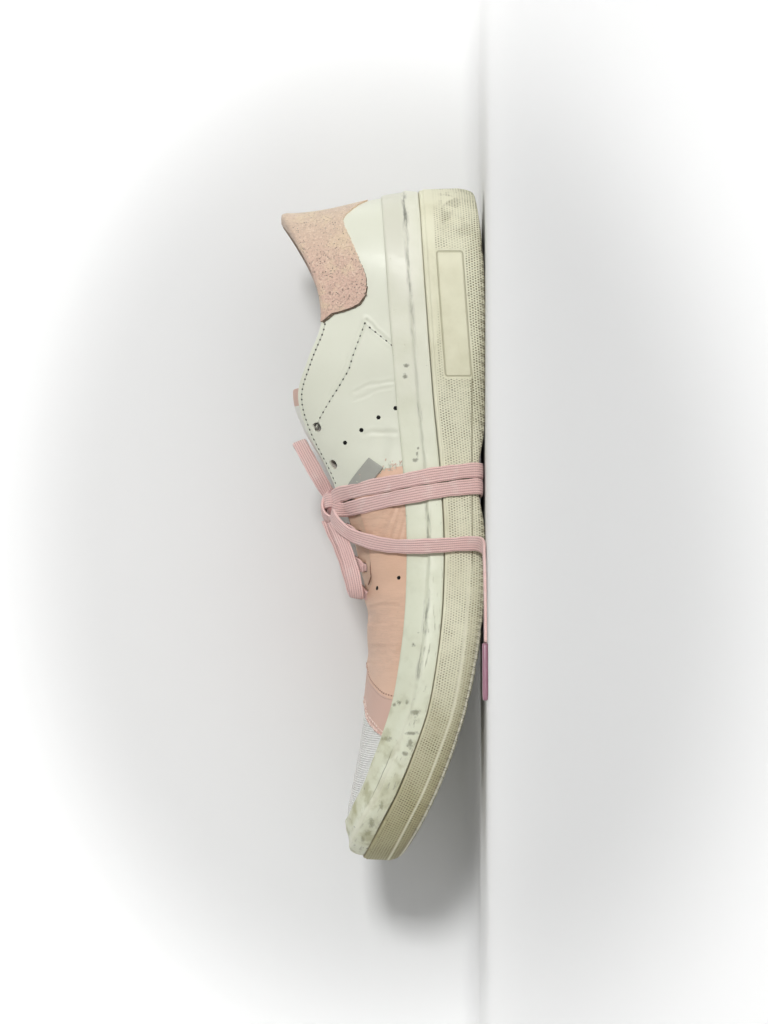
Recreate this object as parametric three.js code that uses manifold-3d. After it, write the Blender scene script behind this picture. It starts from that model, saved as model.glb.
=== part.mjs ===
// A worn low sneaker for the right foot: a rubber cup sole, a rubber rand, a lasted leather upper with a
// suede heel tab, a tongue, an insole, and a flat lace that is wound once round the waist and tied.
// Millimetres. +X runs to the toe, +Y to the inner (medial) side, +Z up, and z = 0 is the floor.
import * as THREE from "three";
import { mergeVertices } from "three/addons/utils/BufferGeometryUtils.js";
import Module from "manifold-3d";

const wasm = await Module();
wasm.setup();

// ---------------------------------------------------------------- driving dimensions
const LENGTH = 270; // heel to toe of the sole
const MEDIAL = 1;
const LATERAL = -1;
const STATIONS = 40; // steps from heel to toe on each side
const THROAT_END = 26; // the station where the throat closes on the vamp
const GAP = 0.35; // between pieces that meet

const HEEL_BEVEL = { end: 50, rise: 4.2 }; // the worn back edge of the heel
const ARCH = { start: 94, end: 141, rise: 2.9 }; // the waist, clear of the floor
const CURL = { start: 149, radius: 232 }; // the toe spring, an arc
const GROOVES = { places: [26, 176, 190, 204, 218], width: 2.4, depth: 1.6 }; // across the tread

const CUP_WALL = 3.4; // from the sole's edge to the inside of the cup
const UPPER_WALL = 2;
const UPPER_INSET = CUP_WALL + GAP;
const INSOLE = { inset: UPPER_INSET + UPPER_WALL + 0.5, thickness: 4 };
const RAND = { ridge: 5.5, height: 14.5 }; // measured up the upper from the rim of the cup
const TAB_THICKNESS = 1.2;
const TAB_STATIONS = 9;
const TONGUE = { first: 14, last: 28, thickness: 3.2 };
const EYELET = { radius: 2, below: 6 }; // below: from the throat's edge to the hole
const EYELET_PLACES = [0.4, 0.447, 0.493, 0.537, 0.577, 0.614]; // share of the way to the toe
const LACED_FROM = 3; // the first eyelet pair with a crossing in front of the knot
const LACE = { width: 6, thickness: 1.3 };
const BAR_LIFT = 0.35; // a crossing spans the curve of the throat's edge
const TURNS = [{ head: 123.4, foot: 113.8 }, { head: 130, foot: 120.2 }]; // x at the throat and under the waist
const TURN_TOP = 58; // the height the heads are at

// The sole's edge seen from above, from the back of the heel round by the inner side.
const SOLE_EDGE = [
  [0, 0], [8, 21], [28, 32], [60, 33], [105, 30], [150, 37], [190, 46], [225, 45], [252, 37], [266, 22],
  [LENGTH, 6], [264, -12], [246, -30], [215, -44], [175, -51], [130, -46], [90, -39], [50, -36], [22, -31],
  [6, -18],
];

// ---------------------------------------------------------------- lengthwise curves
// A smooth value through [place, value] pairs, level past both ends.
function along(pairs) {
  const slope = (i) => {
    const [before, after] = [pairs[Math.max(i - 1, 0)], pairs[Math.min(i + 1, pairs.length - 1)]];
    return (after[1] - before[1]) / (after[0] - before[0]);
  };
  return (place) => {
    if (place <= pairs[0][0]) return pairs[0][1];
    if (place >= pairs.at(-1)[0]) return pairs.at(-1)[1];
    const i = pairs.findIndex((pair) => pair[0] > place) - 1;
    const [[x0, v0], [x1, v1]] = [pairs[i], pairs[i + 1]];
    const step = x1 - x0;
    const t = (place - x0) / step;
    const bend = t * (1 - t) * step;
    return v0 + (v1 - v0) * t * t * (3 - 2 * t) + bend * ((1 - t) * slope(i) - t * slope(i + 1));
  };
}

// By x: the sole's rim, and how thick the cup's floor is.
const rimHeight = along([
  [0, 26.2], [35, 24.2], [85, 20.4], [111, 17.8], [140, 16.2], [166, 16.8], [186, 18.9], [207, 22.5], [223, 27.6],
  [241, 34.6], [254, 40.8], [LENGTH, 48.4]]);
const floorThickness = along([[0, 13], [80, 12], [130, 8.5], [170, 6.5], [LENGTH, 6]]);

// By share of the way from heel to toe: the upper's top line, which is collar, throat and then vamp ridge.
const topX = along([
  [0, 11.2], [0.07, 13.5], [0.146, 24], [0.2, 40], [0.25, 55], [0.31, 70], [0.36, 83.5], [0.41, 97], [0.46, 113],
  [0.51, 129], [0.56, 145], [0.6, 158], [0.63, 166], [0.65, 169], [0.73, 185], [0.789, 200], [0.88, 224],
  [0.947, 240], [1, 247]]);
const topZ = along([
  [0, 80.8], [0.07, 80], [0.146, 74], [0.2, 66.6], [0.25, 64.8], [0.31, 70.2], [0.36, 73.9], [0.41, 70.3],
  [0.46, 62], [0.51, 55.4], [0.56, 51.2], [0.6, 48.2], [0.65, 46], [0.73, 45.5], [0.789, 46.9], [0.88, 49.6],
  [0.947, 52.7], [1, 54]]);
const topMiddle = along([[0, 0], [0.25, -1], [0.41, 0], [0.65, 0.8], [0.789, 2], [0.88, 3.6], [1, 5.6]]);
const openHalfWidth = along([
  [0, 0], [0.07, 11.5], [0.146, 21.5], [0.2, 25.5], [0.25, 26], [0.31, 23.5], [0.36, 18], [0.41, 13.5], [0.46, 11],
  [0.51, 9.5], [0.56, 8.3], [0.6, 7], [0.63, 4.6], [0.65, 0]]);
// How the upper leaves the rim (degrees outward) and reaches its top line (degrees from upright).
const leanAtRim = along([[0, 2], [0.15, 3], [0.4, -6], [0.68, 3], [0.789, 0], [0.88, -6], [0.947, -18], [1, -28]]);
const leanAtTop = along([[0, -4], [0.1, 4], [0.25, 6], [0.36, 24], [0.46, 46], [0.56, 62], [0.65, 84], [0.88, 92], [1, 101]]);
const fullnessLow = along([[0, 0.34], [0.4, 0.4], [0.68, 0.34], [1, 0.34]]);
const fullnessHigh = along([[0, 0.36], [0.25, 0.36], [0.5, 0.36], [0.68, 0.44], [1, 0.34]]);
// The lower edge of the heel tab, as a height: a short tail at the back and a rounded flag on each side.
const tabEdge = along([[0, 46.6], [0.05, 54.6], [0.085, 55.6], [0.13, 52.4], [0.175, 47.2], [0.2, 47], [0.225, 55]]);
const tongueLift = along([[0.34, 3], [0.41, 2.2], [0.46, 1.1], [0.51, 0.1], [0.56, -0.6], [0.6, -1.2], [0.65, -2.6]]);

// The height of the sole's underside, before its edge is rounded.
function treadHeight(x) {
  if (x < HEEL_BEVEL.end) return HEEL_BEVEL.rise * (1 - x / HEEL_BEVEL.end) ** 2;
  if (x > ARCH.start && x < ARCH.end) {
    return ARCH.rise * Math.sin((Math.PI * (x - ARCH.start)) / (ARCH.end - ARCH.start)) ** 2;
  }
  return curlHeight(x);
}

function curlHeight(x) {
  const past = Math.max(0, x - CURL.start);
  return CURL.radius - Math.sqrt(CURL.radius ** 2 - past ** 2);
}

const cupFloor = (x) => curlHeight(x) + floorThickness(x);

// ---------------------------------------------------------------- the sole's edge
const edgeCurve = new THREE.CatmullRomCurve3(
  SOLE_EDGE.map(([x, y]) => new THREE.Vector3(x, y, 0)), true, "centripetal");
edgeCurve.arcLengthDivisions = 2000;
const toeShare = [...Array(1001).keys()]
  .map((i) => i / 1000)
  .reduce((best, t) => (edgeCurve.getPointAt(t).x > edgeCurve.getPointAt(best).x ? t : best), 0);

// A point of the sole's edge moved inwards, for a share of the way from heel to toe on one side.
function edgePoint(side, share, inset) {
  const t = side === MEDIAL ? share * toeShare : 1 - share * (1 - toeShare);
  const onEdge = (u) => edgeCurve.getPointAt(THREE.MathUtils.euclideanModulo(u, 1));
  const forward = onEdge(t + 0.001).sub(onEdge(t - 0.001));
  const outward = new THREE.Vector3(-forward.y, forward.x, 0).normalize();
  return { at: onEdge(t).addScaledVector(outward, -inset), outward };
}

// The line inside the sole that its floor and its tread are filled in to.
function spinePoint(share) {
  const x = THREE.MathUtils.lerp(28, 238, share);
  return new THREE.Vector3(x, along([[28, -1], [105, -6], [190, -3], [238, 4]])(x), 0);
}

// ---------------------------------------------------------------- the last's sections
// One section of the upper, from the cup's floor up the side to the top line, as points 1/64 of it apart
// from the rim upwards, with the distance of each from the rim.
function section(side, share) {
  const { at: foot, outward } = edgePoint(side, share, UPPER_INSET);
  const rim = foot.clone().setZ(rimHeight(edgePoint(side, share, 0).at.x) + GAP + 0.15);
  const half = share < THROAT_END / STATIONS - 1e-6 ? openHalfWidth(share) : 0;
  const top = new THREE.Vector3(topX(share), topMiddle(share) + side * half, topZ(share));
  const reach = rim.distanceTo(top);
  const sideways = rim.clone().sub(top).setZ(0).normalize();
  const low = THREE.MathUtils.degToRad(leanAtRim(share));
  const high = THREE.MathUtils.degToRad(leanAtTop(share));
  const lowHandle = rim.clone()
    .addScaledVector(outward, fullnessLow(share) * reach * Math.sin(low))
    .add(new THREE.Vector3(0, 0, fullnessLow(share) * reach * Math.cos(low)));
  const highHandle = top.clone()
    .addScaledVector(sideways, fullnessHigh(share) * reach * Math.sin(high))
    .add(new THREE.Vector3(0, 0, -fullnessHigh(share) * reach * Math.cos(high)));
  const points = new THREE.CubicBezierCurve3(rim, lowHandle, highHandle, top).getPoints(64);
  const distances = [0];
  points.slice(1).forEach((p, i) => distances.push(distances[i] + p.distanceTo(points[i])));
  foot.z = cupFloor(foot.x) + GAP;
  return { foot, points, distances, girth: distances.at(-1) };
}

// The point of a section a distance up from the rim.
function pointUp(cut, distance) {
  const d = THREE.MathUtils.clamp(distance, 0, cut.girth);
  const i = Math.max(1, cut.distances.findIndex((at) => at >= d));
  const t = (d - cut.distances[i - 1]) / (cut.distances[i] - cut.distances[i - 1]);
  return cut.points[i - 1].clone().lerp(cut.points[i], t);
}

// A point of the upper's outer face, a distance below the top line, moved out along the face's normal.
function onUpper(side, share, below, out) {
  const place = (s, d) => {
    const cut = section(side, s);
    return pointUp(cut, cut.girth - d);
  };
  const step = 0.004;
  const forward = place(Math.min(share + step, 1), below).sub(place(share - step, below));
  const upward = place(share, below).sub(place(share, below + 1));
  const normal = side === MEDIAL ? upward.cross(forward) : forward.cross(upward);
  return place(share, below).addScaledVector(normal.normalize(), out);
}

// ---------------------------------------------------------------- meshes of two halves
// Both halves of a form as one mesh: place(side, share, row) gives its points, and what coincides is merged.
class Halves {
  constructor(rows, place, stations = STATIONS) {
    this.positions = [];
    this.faces = [];
    const known = new Map();
    const index = (side, i, row) => {
      const p = place(side, i / STATIONS, row);
      const key = p.toArray().map((v) => Math.round(v * 1e3)).join();
      if (!known.has(key)) known.set(key, this.positions.push(p) - 1);
      return known.get(key);
    };
    for (const side of [MEDIAL, LATERAL]) {
      const grid = [...Array(stations + 1).keys()].map((i) =>
        [...Array(rows).keys()].map((row) => index(side, i, row)));
      for (let i = 0; i < stations; i++) {
        for (let row = 0; row < rows - 1; row++) {
          const corners = [grid[i][row], grid[i + 1][row], grid[i + 1][row + 1], grid[i][row + 1]];
          if (side === MEDIAL) corners.reverse();
          this.faces.push({ side, i, row, corners });
        }
      }
      this.rowOf ??= [];
      grid.forEach((column) => column.forEach((at, row) => (this.rowOf[at] = row)));
    }
    this.normals = this.positions.map(() => new THREE.Vector3());
    for (const { corners } of this.faces) {
      for (const [a, b, c] of split(corners)) {
        const [p, q, r] = [a, b, c].map((v) => this.positions[v]);
        const normal = q.clone().sub(p).cross(r.clone().sub(p));
        [a, b, c].forEach((v) => this.normals[v].add(normal));
      }
    }
    this.normals.forEach((n) => n.normalize());
  }

  // The whole as a closed mesh.
  closed() {
    return geometryOf(this.positions, this.faces.flatMap(({ corners }) => split(corners)));
  }

  // The wall between two distances out from the surface, over the faces that wanted() picks.
  wall(inner, outer, wanted = () => true) {
    const triangles = this.faces.filter(wanted).flatMap(({ corners }) => split(corners));
    const count = this.positions.length;
    const shifted = (distance) => this.positions.map((p, v) =>
      p.clone().addScaledVector(this.normals[v], distance(this.rowOf[v])));
    const borders = new Map();
    triangles.forEach(([a, b, c]) => [[a, b], [b, c], [c, a]].forEach(([p, q]) => {
      if (!borders.delete(`${q},${p}`)) borders.set(`${p},${q}`, [p, q]);
    }));
    const rim = [...borders.values()].flatMap(([p, q]) => [[q, p, p + count], [q, p + count, q + count]]);
    return geometryOf([...shifted(outer), ...shifted(inner)], [
      ...triangles, ...triangles.map(([a, b, c]) => [a + count, c + count, b + count]), ...rim]);
  }
}

// A four-sided face as triangles, without those that have no area.
function split([a, b, c, d]) {
  return [[a, b, c], [a, c, d]].filter(([p, q, r]) => p !== q && q !== r && r !== p);
}

function geometryOf(positions, triangles) {
  const used = new Map();
  const kept = [];
  const indices = triangles.flat().map((v) => {
    if (!used.has(v)) used.set(v, kept.push(positions[v]) - 1);
    return used.get(v);
  });
  return new THREE.BufferGeometry()
    .setAttribute("position", new THREE.Float32BufferAttribute(kept.flatMap((p) => p.toArray()), 3))
    .setIndex(indices);
}

// ---------------------------------------------------------------- joining and cutting
function solidOf(geometry) {
  const bare = geometry.clone();
  bare.deleteAttribute("normal");
  bare.deleteAttribute("uv");
  const merged = mergeVertices(bare, 1e-4);
  return new wasm.Manifold(new wasm.Mesh({
    numProp: 3,
    vertProperties: merged.attributes.position.array,
    triVerts: new Uint32Array(merged.index.array),
  }));
}

function geometryFrom(solid) {
  const mesh = solid.getMesh();
  return new THREE.BufferGeometry()
    .setAttribute("position", new THREE.BufferAttribute(mesh.vertProperties, 3))
    .setIndex(new THREE.BufferAttribute(mesh.triVerts, 1));
}

// ---------------------------------------------------------------- pieces
// Rows: tread from the spine out, rounded edge, side wall, rim, the cup's inside, floor back to the spine.
const SOLE_ROWS = [
  { inset: 2.8, height: 0 }, { inset: 0.7, height: 0.12 }, { inset: 0, height: 0.28 }, { inset: 0.4, height: 0.6 },
  { inset: 1, height: 0.95 }, { inset: 1.8, height: 1 }, { inset: CUP_WALL, height: 1 },
];

function solePoint(side, share, row) {
  const spine = spinePoint(share);
  const wallRow = row - 2;
  const outer = edgePoint(side, share, 0).at;
  if (wallRow >= 0 && wallRow < SOLE_ROWS.length) {
    const { inset, height } = SOLE_ROWS[wallRow];
    const p = edgePoint(side, share, inset).at;
    p.z = THREE.MathUtils.lerp(treadHeight(p.x), rimHeight(outer.x), height);
    return p;
  }
  const onFloor = wallRow >= SOLE_ROWS.length;
  const fromSpine = onFloor ? [1, 0.5, 0][wallRow - SOLE_ROWS.length] : [0, 0.5][row];
  const p = spine.lerp(edgePoint(side, share, onFloor ? CUP_WALL : SOLE_ROWS[0].inset).at, fromSpine);
  p.z = onFloor ? cupFloor(p.x) : treadHeight(p.x);
  return p;
}

function soleGeometry() {
  const grooves = GROOVES.places.map((x) => {
    const height = treadHeight(x);
    const groove = new THREE.BoxGeometry(GROOVES.width, 140, 2 * GROOVES.depth);
    groove.rotateY(-Math.atan(treadHeight(x + 1) - height));
    return solidOf(groove.translate(x, 0, height));
  });
  return geometryFrom(solidOf(new Halves(12, solePoint).closed()).subtract(wasm.Manifold.union(grooves)));
}

// The insole takes every second station.
function insolePoint(side, halfShare, row) {
  const share = 2 * halfShare;
  const edge = edgePoint(side, share, INSOLE.inset).at;
  const p = spinePoint(share).lerp(edge, [0, 0.5, 1, 1, 0.5, 0][row]);
  p.z = cupFloor(p.x) + GAP + (row > 2 ? INSOLE.thickness : 0);
  return p;
}

// Rows: cup floor, rim, rand ridge, half-way, rand top, then evenly to the top line with the tab's edge between.
const UPPER_ROWS = 11;
const TAB_ROW = 7;
function upperPoint(side, share, row) {
  const cut = section(side, share);
  if (row === 0) return cut.foot;
  const randRows = [0, RAND.ridge, (RAND.ridge + RAND.height) / 2, RAND.height];
  if (row <= 4) return pointUp(cut, Math.min(randRows[row - 1], cut.girth * 0.9));
  const start = Math.min(RAND.height, cut.girth * 0.9);
  const evenly = (from, to, t) => pointUp(cut, THREE.MathUtils.lerp(from, to, t));
  let tab = THREE.MathUtils.lerp(start, cut.girth, (TAB_ROW - 4) / (UPPER_ROWS - 5));
  if (share <= TAB_STATIONS / STATIONS) {
    tab = cut.distances[cut.points.findIndex((p) => p.z >= tabEdge(share))];
  }
  if (row <= TAB_ROW) return evenly(start, tab, (row - 4) / (TAB_ROW - 4));
  return evenly(tab, cut.girth, (row - TAB_ROW) / (UPPER_ROWS - 1 - TAB_ROW));
}
const lasted = new Halves(UPPER_ROWS, upperPoint);

function upperGeometry() {
  let upper = solidOf(lasted.wall(() => -UPPER_WALL, () => 0));
  for (const side of [MEDIAL, LATERAL]) {
    for (const share of EYELET_PLACES) {
      const outside = onUpper(side, share, EYELET.below, 3);
      const inside = onUpper(side, share, EYELET.below, -UPPER_WALL - 3);
      const hole = new THREE.CylinderGeometry(EYELET.radius, EYELET.radius, outside.distanceTo(inside), 7);
      const turn = new THREE.Quaternion().setFromUnitVectors(
        new THREE.Vector3(0, 1, 0), outside.clone().sub(inside).normalize());
      hole.applyQuaternion(turn);
      hole.translate(...outside.add(inside).multiplyScalar(0.5).toArray());
      upper = upper.subtract(solidOf(hole));
    }
  }
  return geometryFrom(upper);
}

// The rand stands proud in a low bead, and thins to its top edge.
const randGeometry = () => lasted.wall(
  () => GAP, (row) => [0, 2.3, 2.6, 1.9, 1.6][row] ?? 0, ({ row }) => row >= 1 && row < 4);

const tabGeometry = () => lasted.wall(
  () => GAP, () => GAP + TAB_THICKNESS, ({ i, row }) => i < TAB_STATIONS && row >= TAB_ROW);

// The tongue's outer face: it lies under both edges of the throat and rises a little between them.
function tonguePoint(side, share, column) {
  const half = share < THROAT_END / STATIONS - 1e-6 ? openHalfWidth(share) : 0;
  const under = -UPPER_WALL - 0.55;
  if (half === 0) return onUpper(side, share, [0.01, 5, 9, 12.5, 16][column], under);
  if (column >= 2) return onUpper(side, share, [1.5, 5.5, 9][column - 2], under);
  const crown = new THREE.Vector3(topX(share), topMiddle(share), topZ(share) + tongueLift(share));
  const flank = onUpper(side, share, 1.5, under);
  const across = [0, 0.62][column];
  return crown.lerp(new THREE.Vector3(flank.x, flank.y, crown.z), across)
    .setZ(THREE.MathUtils.lerp(crown.z, flank.z, across ** 2));
}

function tongueGeometry() {
  const stations = TONGUE.last - TONGUE.first;
  // Rows run from the middle outwards here, so that the outer side of each half faces up.
  const tongue = new Halves(5, (side, share, row) =>
    tonguePoint(side, share + TONGUE.first / STATIONS, 4 - row), stations);
  return tongue.wall(() => -TONGUE.thickness, () => 0);
}

// ---------------------------------------------------------------- the lace
// A path whose flat side keeps the direction that facing gives, so that a flat section doesn't twist.
class RibbonPath extends THREE.CatmullRomCurve3 {
  constructor(stops) {
    super(stops.map(({ at }) => at), false, "centripetal");
    this.facings = stops.map(({ facing }) => facing);
  }

  computeFrenetFrames(steps) {
    const frames = { tangents: [], normals: [], binormals: [] };
    for (let i = 0; i <= steps; i++) {
      const t = this.getUtoTmapping(i / steps);
      const place = t * (this.facings.length - 1);
      const from = Math.min(Math.floor(place), this.facings.length - 2);
      const facing = this.facings[from].clone().lerp(this.facings[from + 1], place - from);
      const tangent = this.getTangent(t);
      const across = new THREE.Vector3().crossVectors(tangent, facing).normalize();
      frames.tangents.push(tangent);
      frames.normals.push(new THREE.Vector3().crossVectors(across, tangent).normalize());
      frames.binormals.push(across);
    }
    return frames;
  }
}

// A flat woven lace along stops, each a point and the direction out of the lace's flat side there.
function ribbon(stops, steps) {
  const [w, t] = [LACE.width / 2, LACE.thickness / 2];
  const flat = new THREE.Shape([
    [t, -w * 0.8], [t, w * 0.8], [t * 0.4, w], [-t * 0.4, w], [-t, w * 0.8], [-t, -w * 0.8], [-t * 0.4, -w],
    [t * 0.4, -w],
  ].map(([x, y]) => new THREE.Vector2(x, y)));
  return new THREE.ExtrudeGeometry(flat, { steps, bevelEnabled: false, extrudePath: new RibbonPath(stops) });
}

const stop = (at, facing) => ({ at: new THREE.Vector3(...at), facing: new THREE.Vector3(...facing) });

// A stop on the upper, a distance below the top line and out from the face.
function stopOnUpper(side, share, below, out) {
  const at = onUpper(side, share, below, out);
  return { at, facing: at.clone().sub(onUpper(side, share, below, out - 1)) };
}

function laceBarGeometry(share) {
  const clear = GAP + LACE.thickness / 2 + BAR_LIFT;
  const edges = [MEDIAL, LATERAL].map((side) => stopOnUpper(side, share, 0.6, clear));
  const crown = {
    at: new THREE.Vector3(topX(share), topMiddle(share), topZ(share) + Math.max(0, tongueLift(share)) + clear + 0.4),
    facing: edges[0].facing.clone().add(edges[1].facing),
  };
  const outer = (side) => [EYELET.below + 1, 3.6].map((below) => stopOnUpper(side, share, below, clear));
  return ribbon([...outer(MEDIAL), edges[0], crown, edges[1], ...outer(LATERAL).reverse()], 10);
}

// The share at which a value that grows along the shoe reaches x.
function shareWhere(value, x) {
  let [low, high] = [0, 1];
  for (let i = 0; i < 24; i++) {
    const middle = (low + high) / 2;
    [low, high] = value(middle) < x ? [middle, high] : [low, middle];
  }
  return low;
}

// One side of a turn round the waist: from the knot down to the middle of the tread, straight as seen from the side.
function turnStops(side, { head, foot }) {
  const clear = GAP + LACE.thickness / 2 + 0.2;
  const lean = (z) => foot + (head - foot) * (Math.max(0, z) / TURN_TOP) ** 1.5;
  const straight = (place) => {
    const past = (share) => place(share).at.x - lean(place(share).at.z);
    return place(shareWhere(past, 0));
  };
  const stops = [1, 9, 18].map((below) => straight((share) => stopOnUpper(side, share, below, clear)));
  const onRand = [[RAND.height + 3, 1.5], [RAND.height - 1, 2.2], [RAND.ridge, 2.8], [1, 2.6]];
  stops.push(...onRand.map(([up, proud]) => straight((share) => (
    stopOnUpper(side, share, section(side, share).girth - up, GAP + proud + clear)))));
  const beside = (out, z, tilt) => {
    const { at, outward } = edgePoint(side, shareWhere((share) => edgePoint(side, share, 0).at.x, lean(z)), 0);
    return { at: at.clone().addScaledVector(outward, out).setZ(z), facing: outward.clone().setZ(tilt) };
  };
  const under = treadHeight(foot) - clear;
  stops.push(beside(clear + 0.1, 12, 0), beside(clear + 0.1, 7, -0.1), beside(clear - 0.1, 3.5, -0.6));
  stops.push(beside(-1.6, under, -3), beside(-10, under, -30));
  return stops;
}

function laceTurnGeometry(turn) {
  const middle = { at: new THREE.Vector3(turn.foot, -3, treadHeight(turn.foot) - GAP - LACE.thickness / 2 - 0.2),
    facing: new THREE.Vector3(0, 0, -1) };
  return ribbon([...turnStops(MEDIAL, turn), middle, ...turnStops(LATERAL, turn).reverse()], 38);
}

// The knot sits on the tongue in the throat. Each route is [point, direction out of the lace's flat side].
const KNOT = { at: [127, 2.5, 60.8], half: [6.5, 7, 3.1] };
const LOOP_A = [ // lies back up the tongue, on its edge
  [[120.6, 1.2, 64], [0.2, 0.9, 0.3]], [[115.6, 2.2, 66.8], [0, 1, 0.1]], [[110.2, 1.6, 69.8], [-0.1, 1, 0]],
  [[105, -0.6, 72.7], [-0.5, 0.8, 0.1]], [[102.2, -3.8, 74.2], [-1, 0, 0.4]], [[103.6, -7.2, 73.5], [-0.5, -0.8, 0.1]],
  [[108.4, -8.6, 70.9], [0, -1, 0]], [[113.8, -7.8, 68], [0, -1, 0.1]], [[119.2, -4.6, 64.6], [0.2, -0.9, 0.3]],
];
const LOOP_B = [ // lies forward along the throat's inner edge, on its edge
  [[133.8, 8.4, 60.4], [-0.3, 0.8, 0.5]], [[138.8, 12.6, 58], [-0.2, 0.85, 0.4]],
  [[144.8, 16.6, 55.6], [-0.1, 0.9, 0.3]], [[151, 18.8, 53.6], [0, 1, 0.2]], [[157, 19.4, 52.1], [0.1, 1, 0.2]],
  [[162, 18.2, 51.2], [0.6, 0.8, 0.1]], [[164.4, 15.2, 51.1], [1, 0, 0.2]], [[162.2, 12.2, 51.9], [0.6, -0.8, 0.1]],
  [[157, 11.4, 53.2], [0, -1, 0]], [[151, 10.8, 54.9], [0, -1, 0]], [[145, 9.2, 57.2], [0, -1, 0]],
  [[139, 6.2, 60], [-0.2, -1, 0.2]], [[134, 2.6, 62.4], [-0.2, -0.9, 0.5]],
];
const FREE_END = [ // over the inner side, down to the floor and out along it
  [[131.4, 11, 60.8], [0.1, 0.4, 0.9]], [[135.6, 15, 58.2], [0.2, 0.6, 0.75]], [[139.4, 18.6, 53.4], [0.2, 0.7, 0.65]],
  [[141.6, 22.6, 47.6], [0.1, 0.85, 0.5]], [[143, 26.4, 42], [0.1, 0.9, 0.4]], [[143.8, 30.2, 36.6], [0, 0.95, 0.3]],
  [[144, 33.6, 31.4], [0, 1, 0.2]], [[143.9, 36.2, 25.8], [0, 1, 0.1]], [[143.6, 37.5, 19.6], [0, 1, 0]],
  [[143.2, 37.9, 13.2], [0, 1, 0]], [[142.8, 38.4, 7.4], [0, 1, 0.15]], [[142.9, 40.4, 3], [0, 0.6, 0.8]],
  [[144.2, 45, 1.05], [0, 0.1, 1]], [[147.2, 51.5, 1], [0, 0, 1]], [[152, 58.4, 1], [0, 0, 1]],
  [[158.5, 64.4, 1], [0, 0, 1]], [[166.5, 69, 1], [0, 0, 1]], [[175.4, 71.9, 1], [0, 0, 1]], [[180.6, 72.9, 1], [0, 0, 1]],
];
const AGLET = { length: 22, radius: 1.15, heading: [0.985, 0.17, 0] };

const routeGeometry = (route, steps) => ribbon(route.map(([at, facing]) => stop(at, facing)), steps);

function knotGeometry() {
  return new THREE.SphereGeometry(1, 12, 8).scale(...KNOT.half).translate(...KNOT.at);
}

function agletGeometry() {
  const heading = new THREE.Vector3(...AGLET.heading).normalize();
  const tip = new THREE.CylinderGeometry(AGLET.radius, AGLET.radius, AGLET.length, 10);
  tip.applyQuaternion(new THREE.Quaternion().setFromUnitVectors(new THREE.Vector3(0, 1, 0), heading));
  const middle = new THREE.Vector3(...FREE_END.at(-1)[0]).addScaledVector(heading, AGLET.length / 2 + GAP);
  return tip.translate(middle.x, middle.y, AGLET.radius + 0.05);
}

// ---------------------------------------------------------------- the shoe
const FINISHES = {
  rubber: { color: 0xd9d6b8, roughness: 0.75 },
  randRubber: { color: 0xdde0cb, roughness: 0.55 },
  leather: { color: 0xe0e2d2, roughness: 0.5 },
  suede: { color: 0xddbfaf, roughness: 0.95 },
  lining: { color: 0xd8cfc4, roughness: 0.9 },
  lace: { color: 0xc99a96, roughness: 0.9 },
  aglet: { color: 0xb98696, roughness: 0.25 },
};

function piece(name, geometry, finish) {
  const mesh = new THREE.Mesh(geometry, new THREE.MeshStandardMaterial({ ...FINISHES[finish], metalness: 0 }));
  mesh.name = name;
  return mesh;
}

const shoe = new THREE.Group();
shoe.add(piece("cup_sole", soleGeometry(), "rubber"));
shoe.add(piece("insole", new Halves(6, insolePoint, STATIONS / 2).closed(), "lining"));
shoe.add(piece("upper", upperGeometry(), "leather"));
shoe.add(piece("rand", randGeometry(), "randRubber"));
shoe.add(piece("heel_tab", tabGeometry(), "suede"));
shoe.add(piece("tongue", tongueGeometry(), "leather"));
EYELET_PLACES.slice(LACED_FROM).forEach((share, i) => {
  shoe.add(piece(`lace_bar_${i + 1}`, laceBarGeometry(share), "lace"));
});
TURNS.forEach((turn, i) => {
  shoe.add(piece(`lace_turn_${i + 1}`, laceTurnGeometry(turn), "lace"));
});
shoe.add(piece("lace_knot", knotGeometry(), "lace"));
shoe.add(piece("lace_loop_a", routeGeometry(LOOP_A, 16), "lace"));
shoe.add(piece("lace_loop_b", routeGeometry(LOOP_B, 18), "lace"));
shoe.add(piece("lace_end", routeGeometry(FREE_END, 34), "lace"));
shoe.add(piece("aglet", agletGeometry(), "aglet"));

// The middle of the floor under the shoe is the origin.
const sole = new THREE.Box3().setFromObject(shoe.getObjectByName("cup_sole"));
shoe.position.set(-LENGTH / 2, -sole.getCenter(new THREE.Vector3()).y, 0);

export default shoe;
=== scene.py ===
"""A worn low sneaker for the right foot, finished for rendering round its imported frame.

Shape functions work in the shoe's own millimetres: x from the back of the heel, y to the inner side and z up
from the floor. A signed share says where a section is: 0 at the heel, 1 at the toe round the inner side and
-1 round the outer side. Pieces are placed in the frame's metres."""

import math

import bmesh
import bpy
import numpy as np
from mathutils import Matrix, Vector


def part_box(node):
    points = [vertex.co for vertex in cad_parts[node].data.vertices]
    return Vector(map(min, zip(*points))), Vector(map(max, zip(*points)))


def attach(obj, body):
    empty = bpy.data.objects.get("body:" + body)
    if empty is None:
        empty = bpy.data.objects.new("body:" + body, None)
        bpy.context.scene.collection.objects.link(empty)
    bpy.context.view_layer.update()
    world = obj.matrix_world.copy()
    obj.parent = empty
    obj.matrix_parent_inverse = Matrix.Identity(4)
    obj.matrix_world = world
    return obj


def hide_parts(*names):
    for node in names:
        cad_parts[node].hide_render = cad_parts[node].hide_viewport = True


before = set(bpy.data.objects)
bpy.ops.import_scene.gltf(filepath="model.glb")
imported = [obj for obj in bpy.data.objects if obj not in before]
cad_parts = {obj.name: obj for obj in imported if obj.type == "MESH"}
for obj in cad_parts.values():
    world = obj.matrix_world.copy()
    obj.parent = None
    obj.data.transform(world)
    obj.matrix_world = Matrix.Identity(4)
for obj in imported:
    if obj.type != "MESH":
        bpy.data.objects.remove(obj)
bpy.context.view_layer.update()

MM = 0.001
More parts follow.
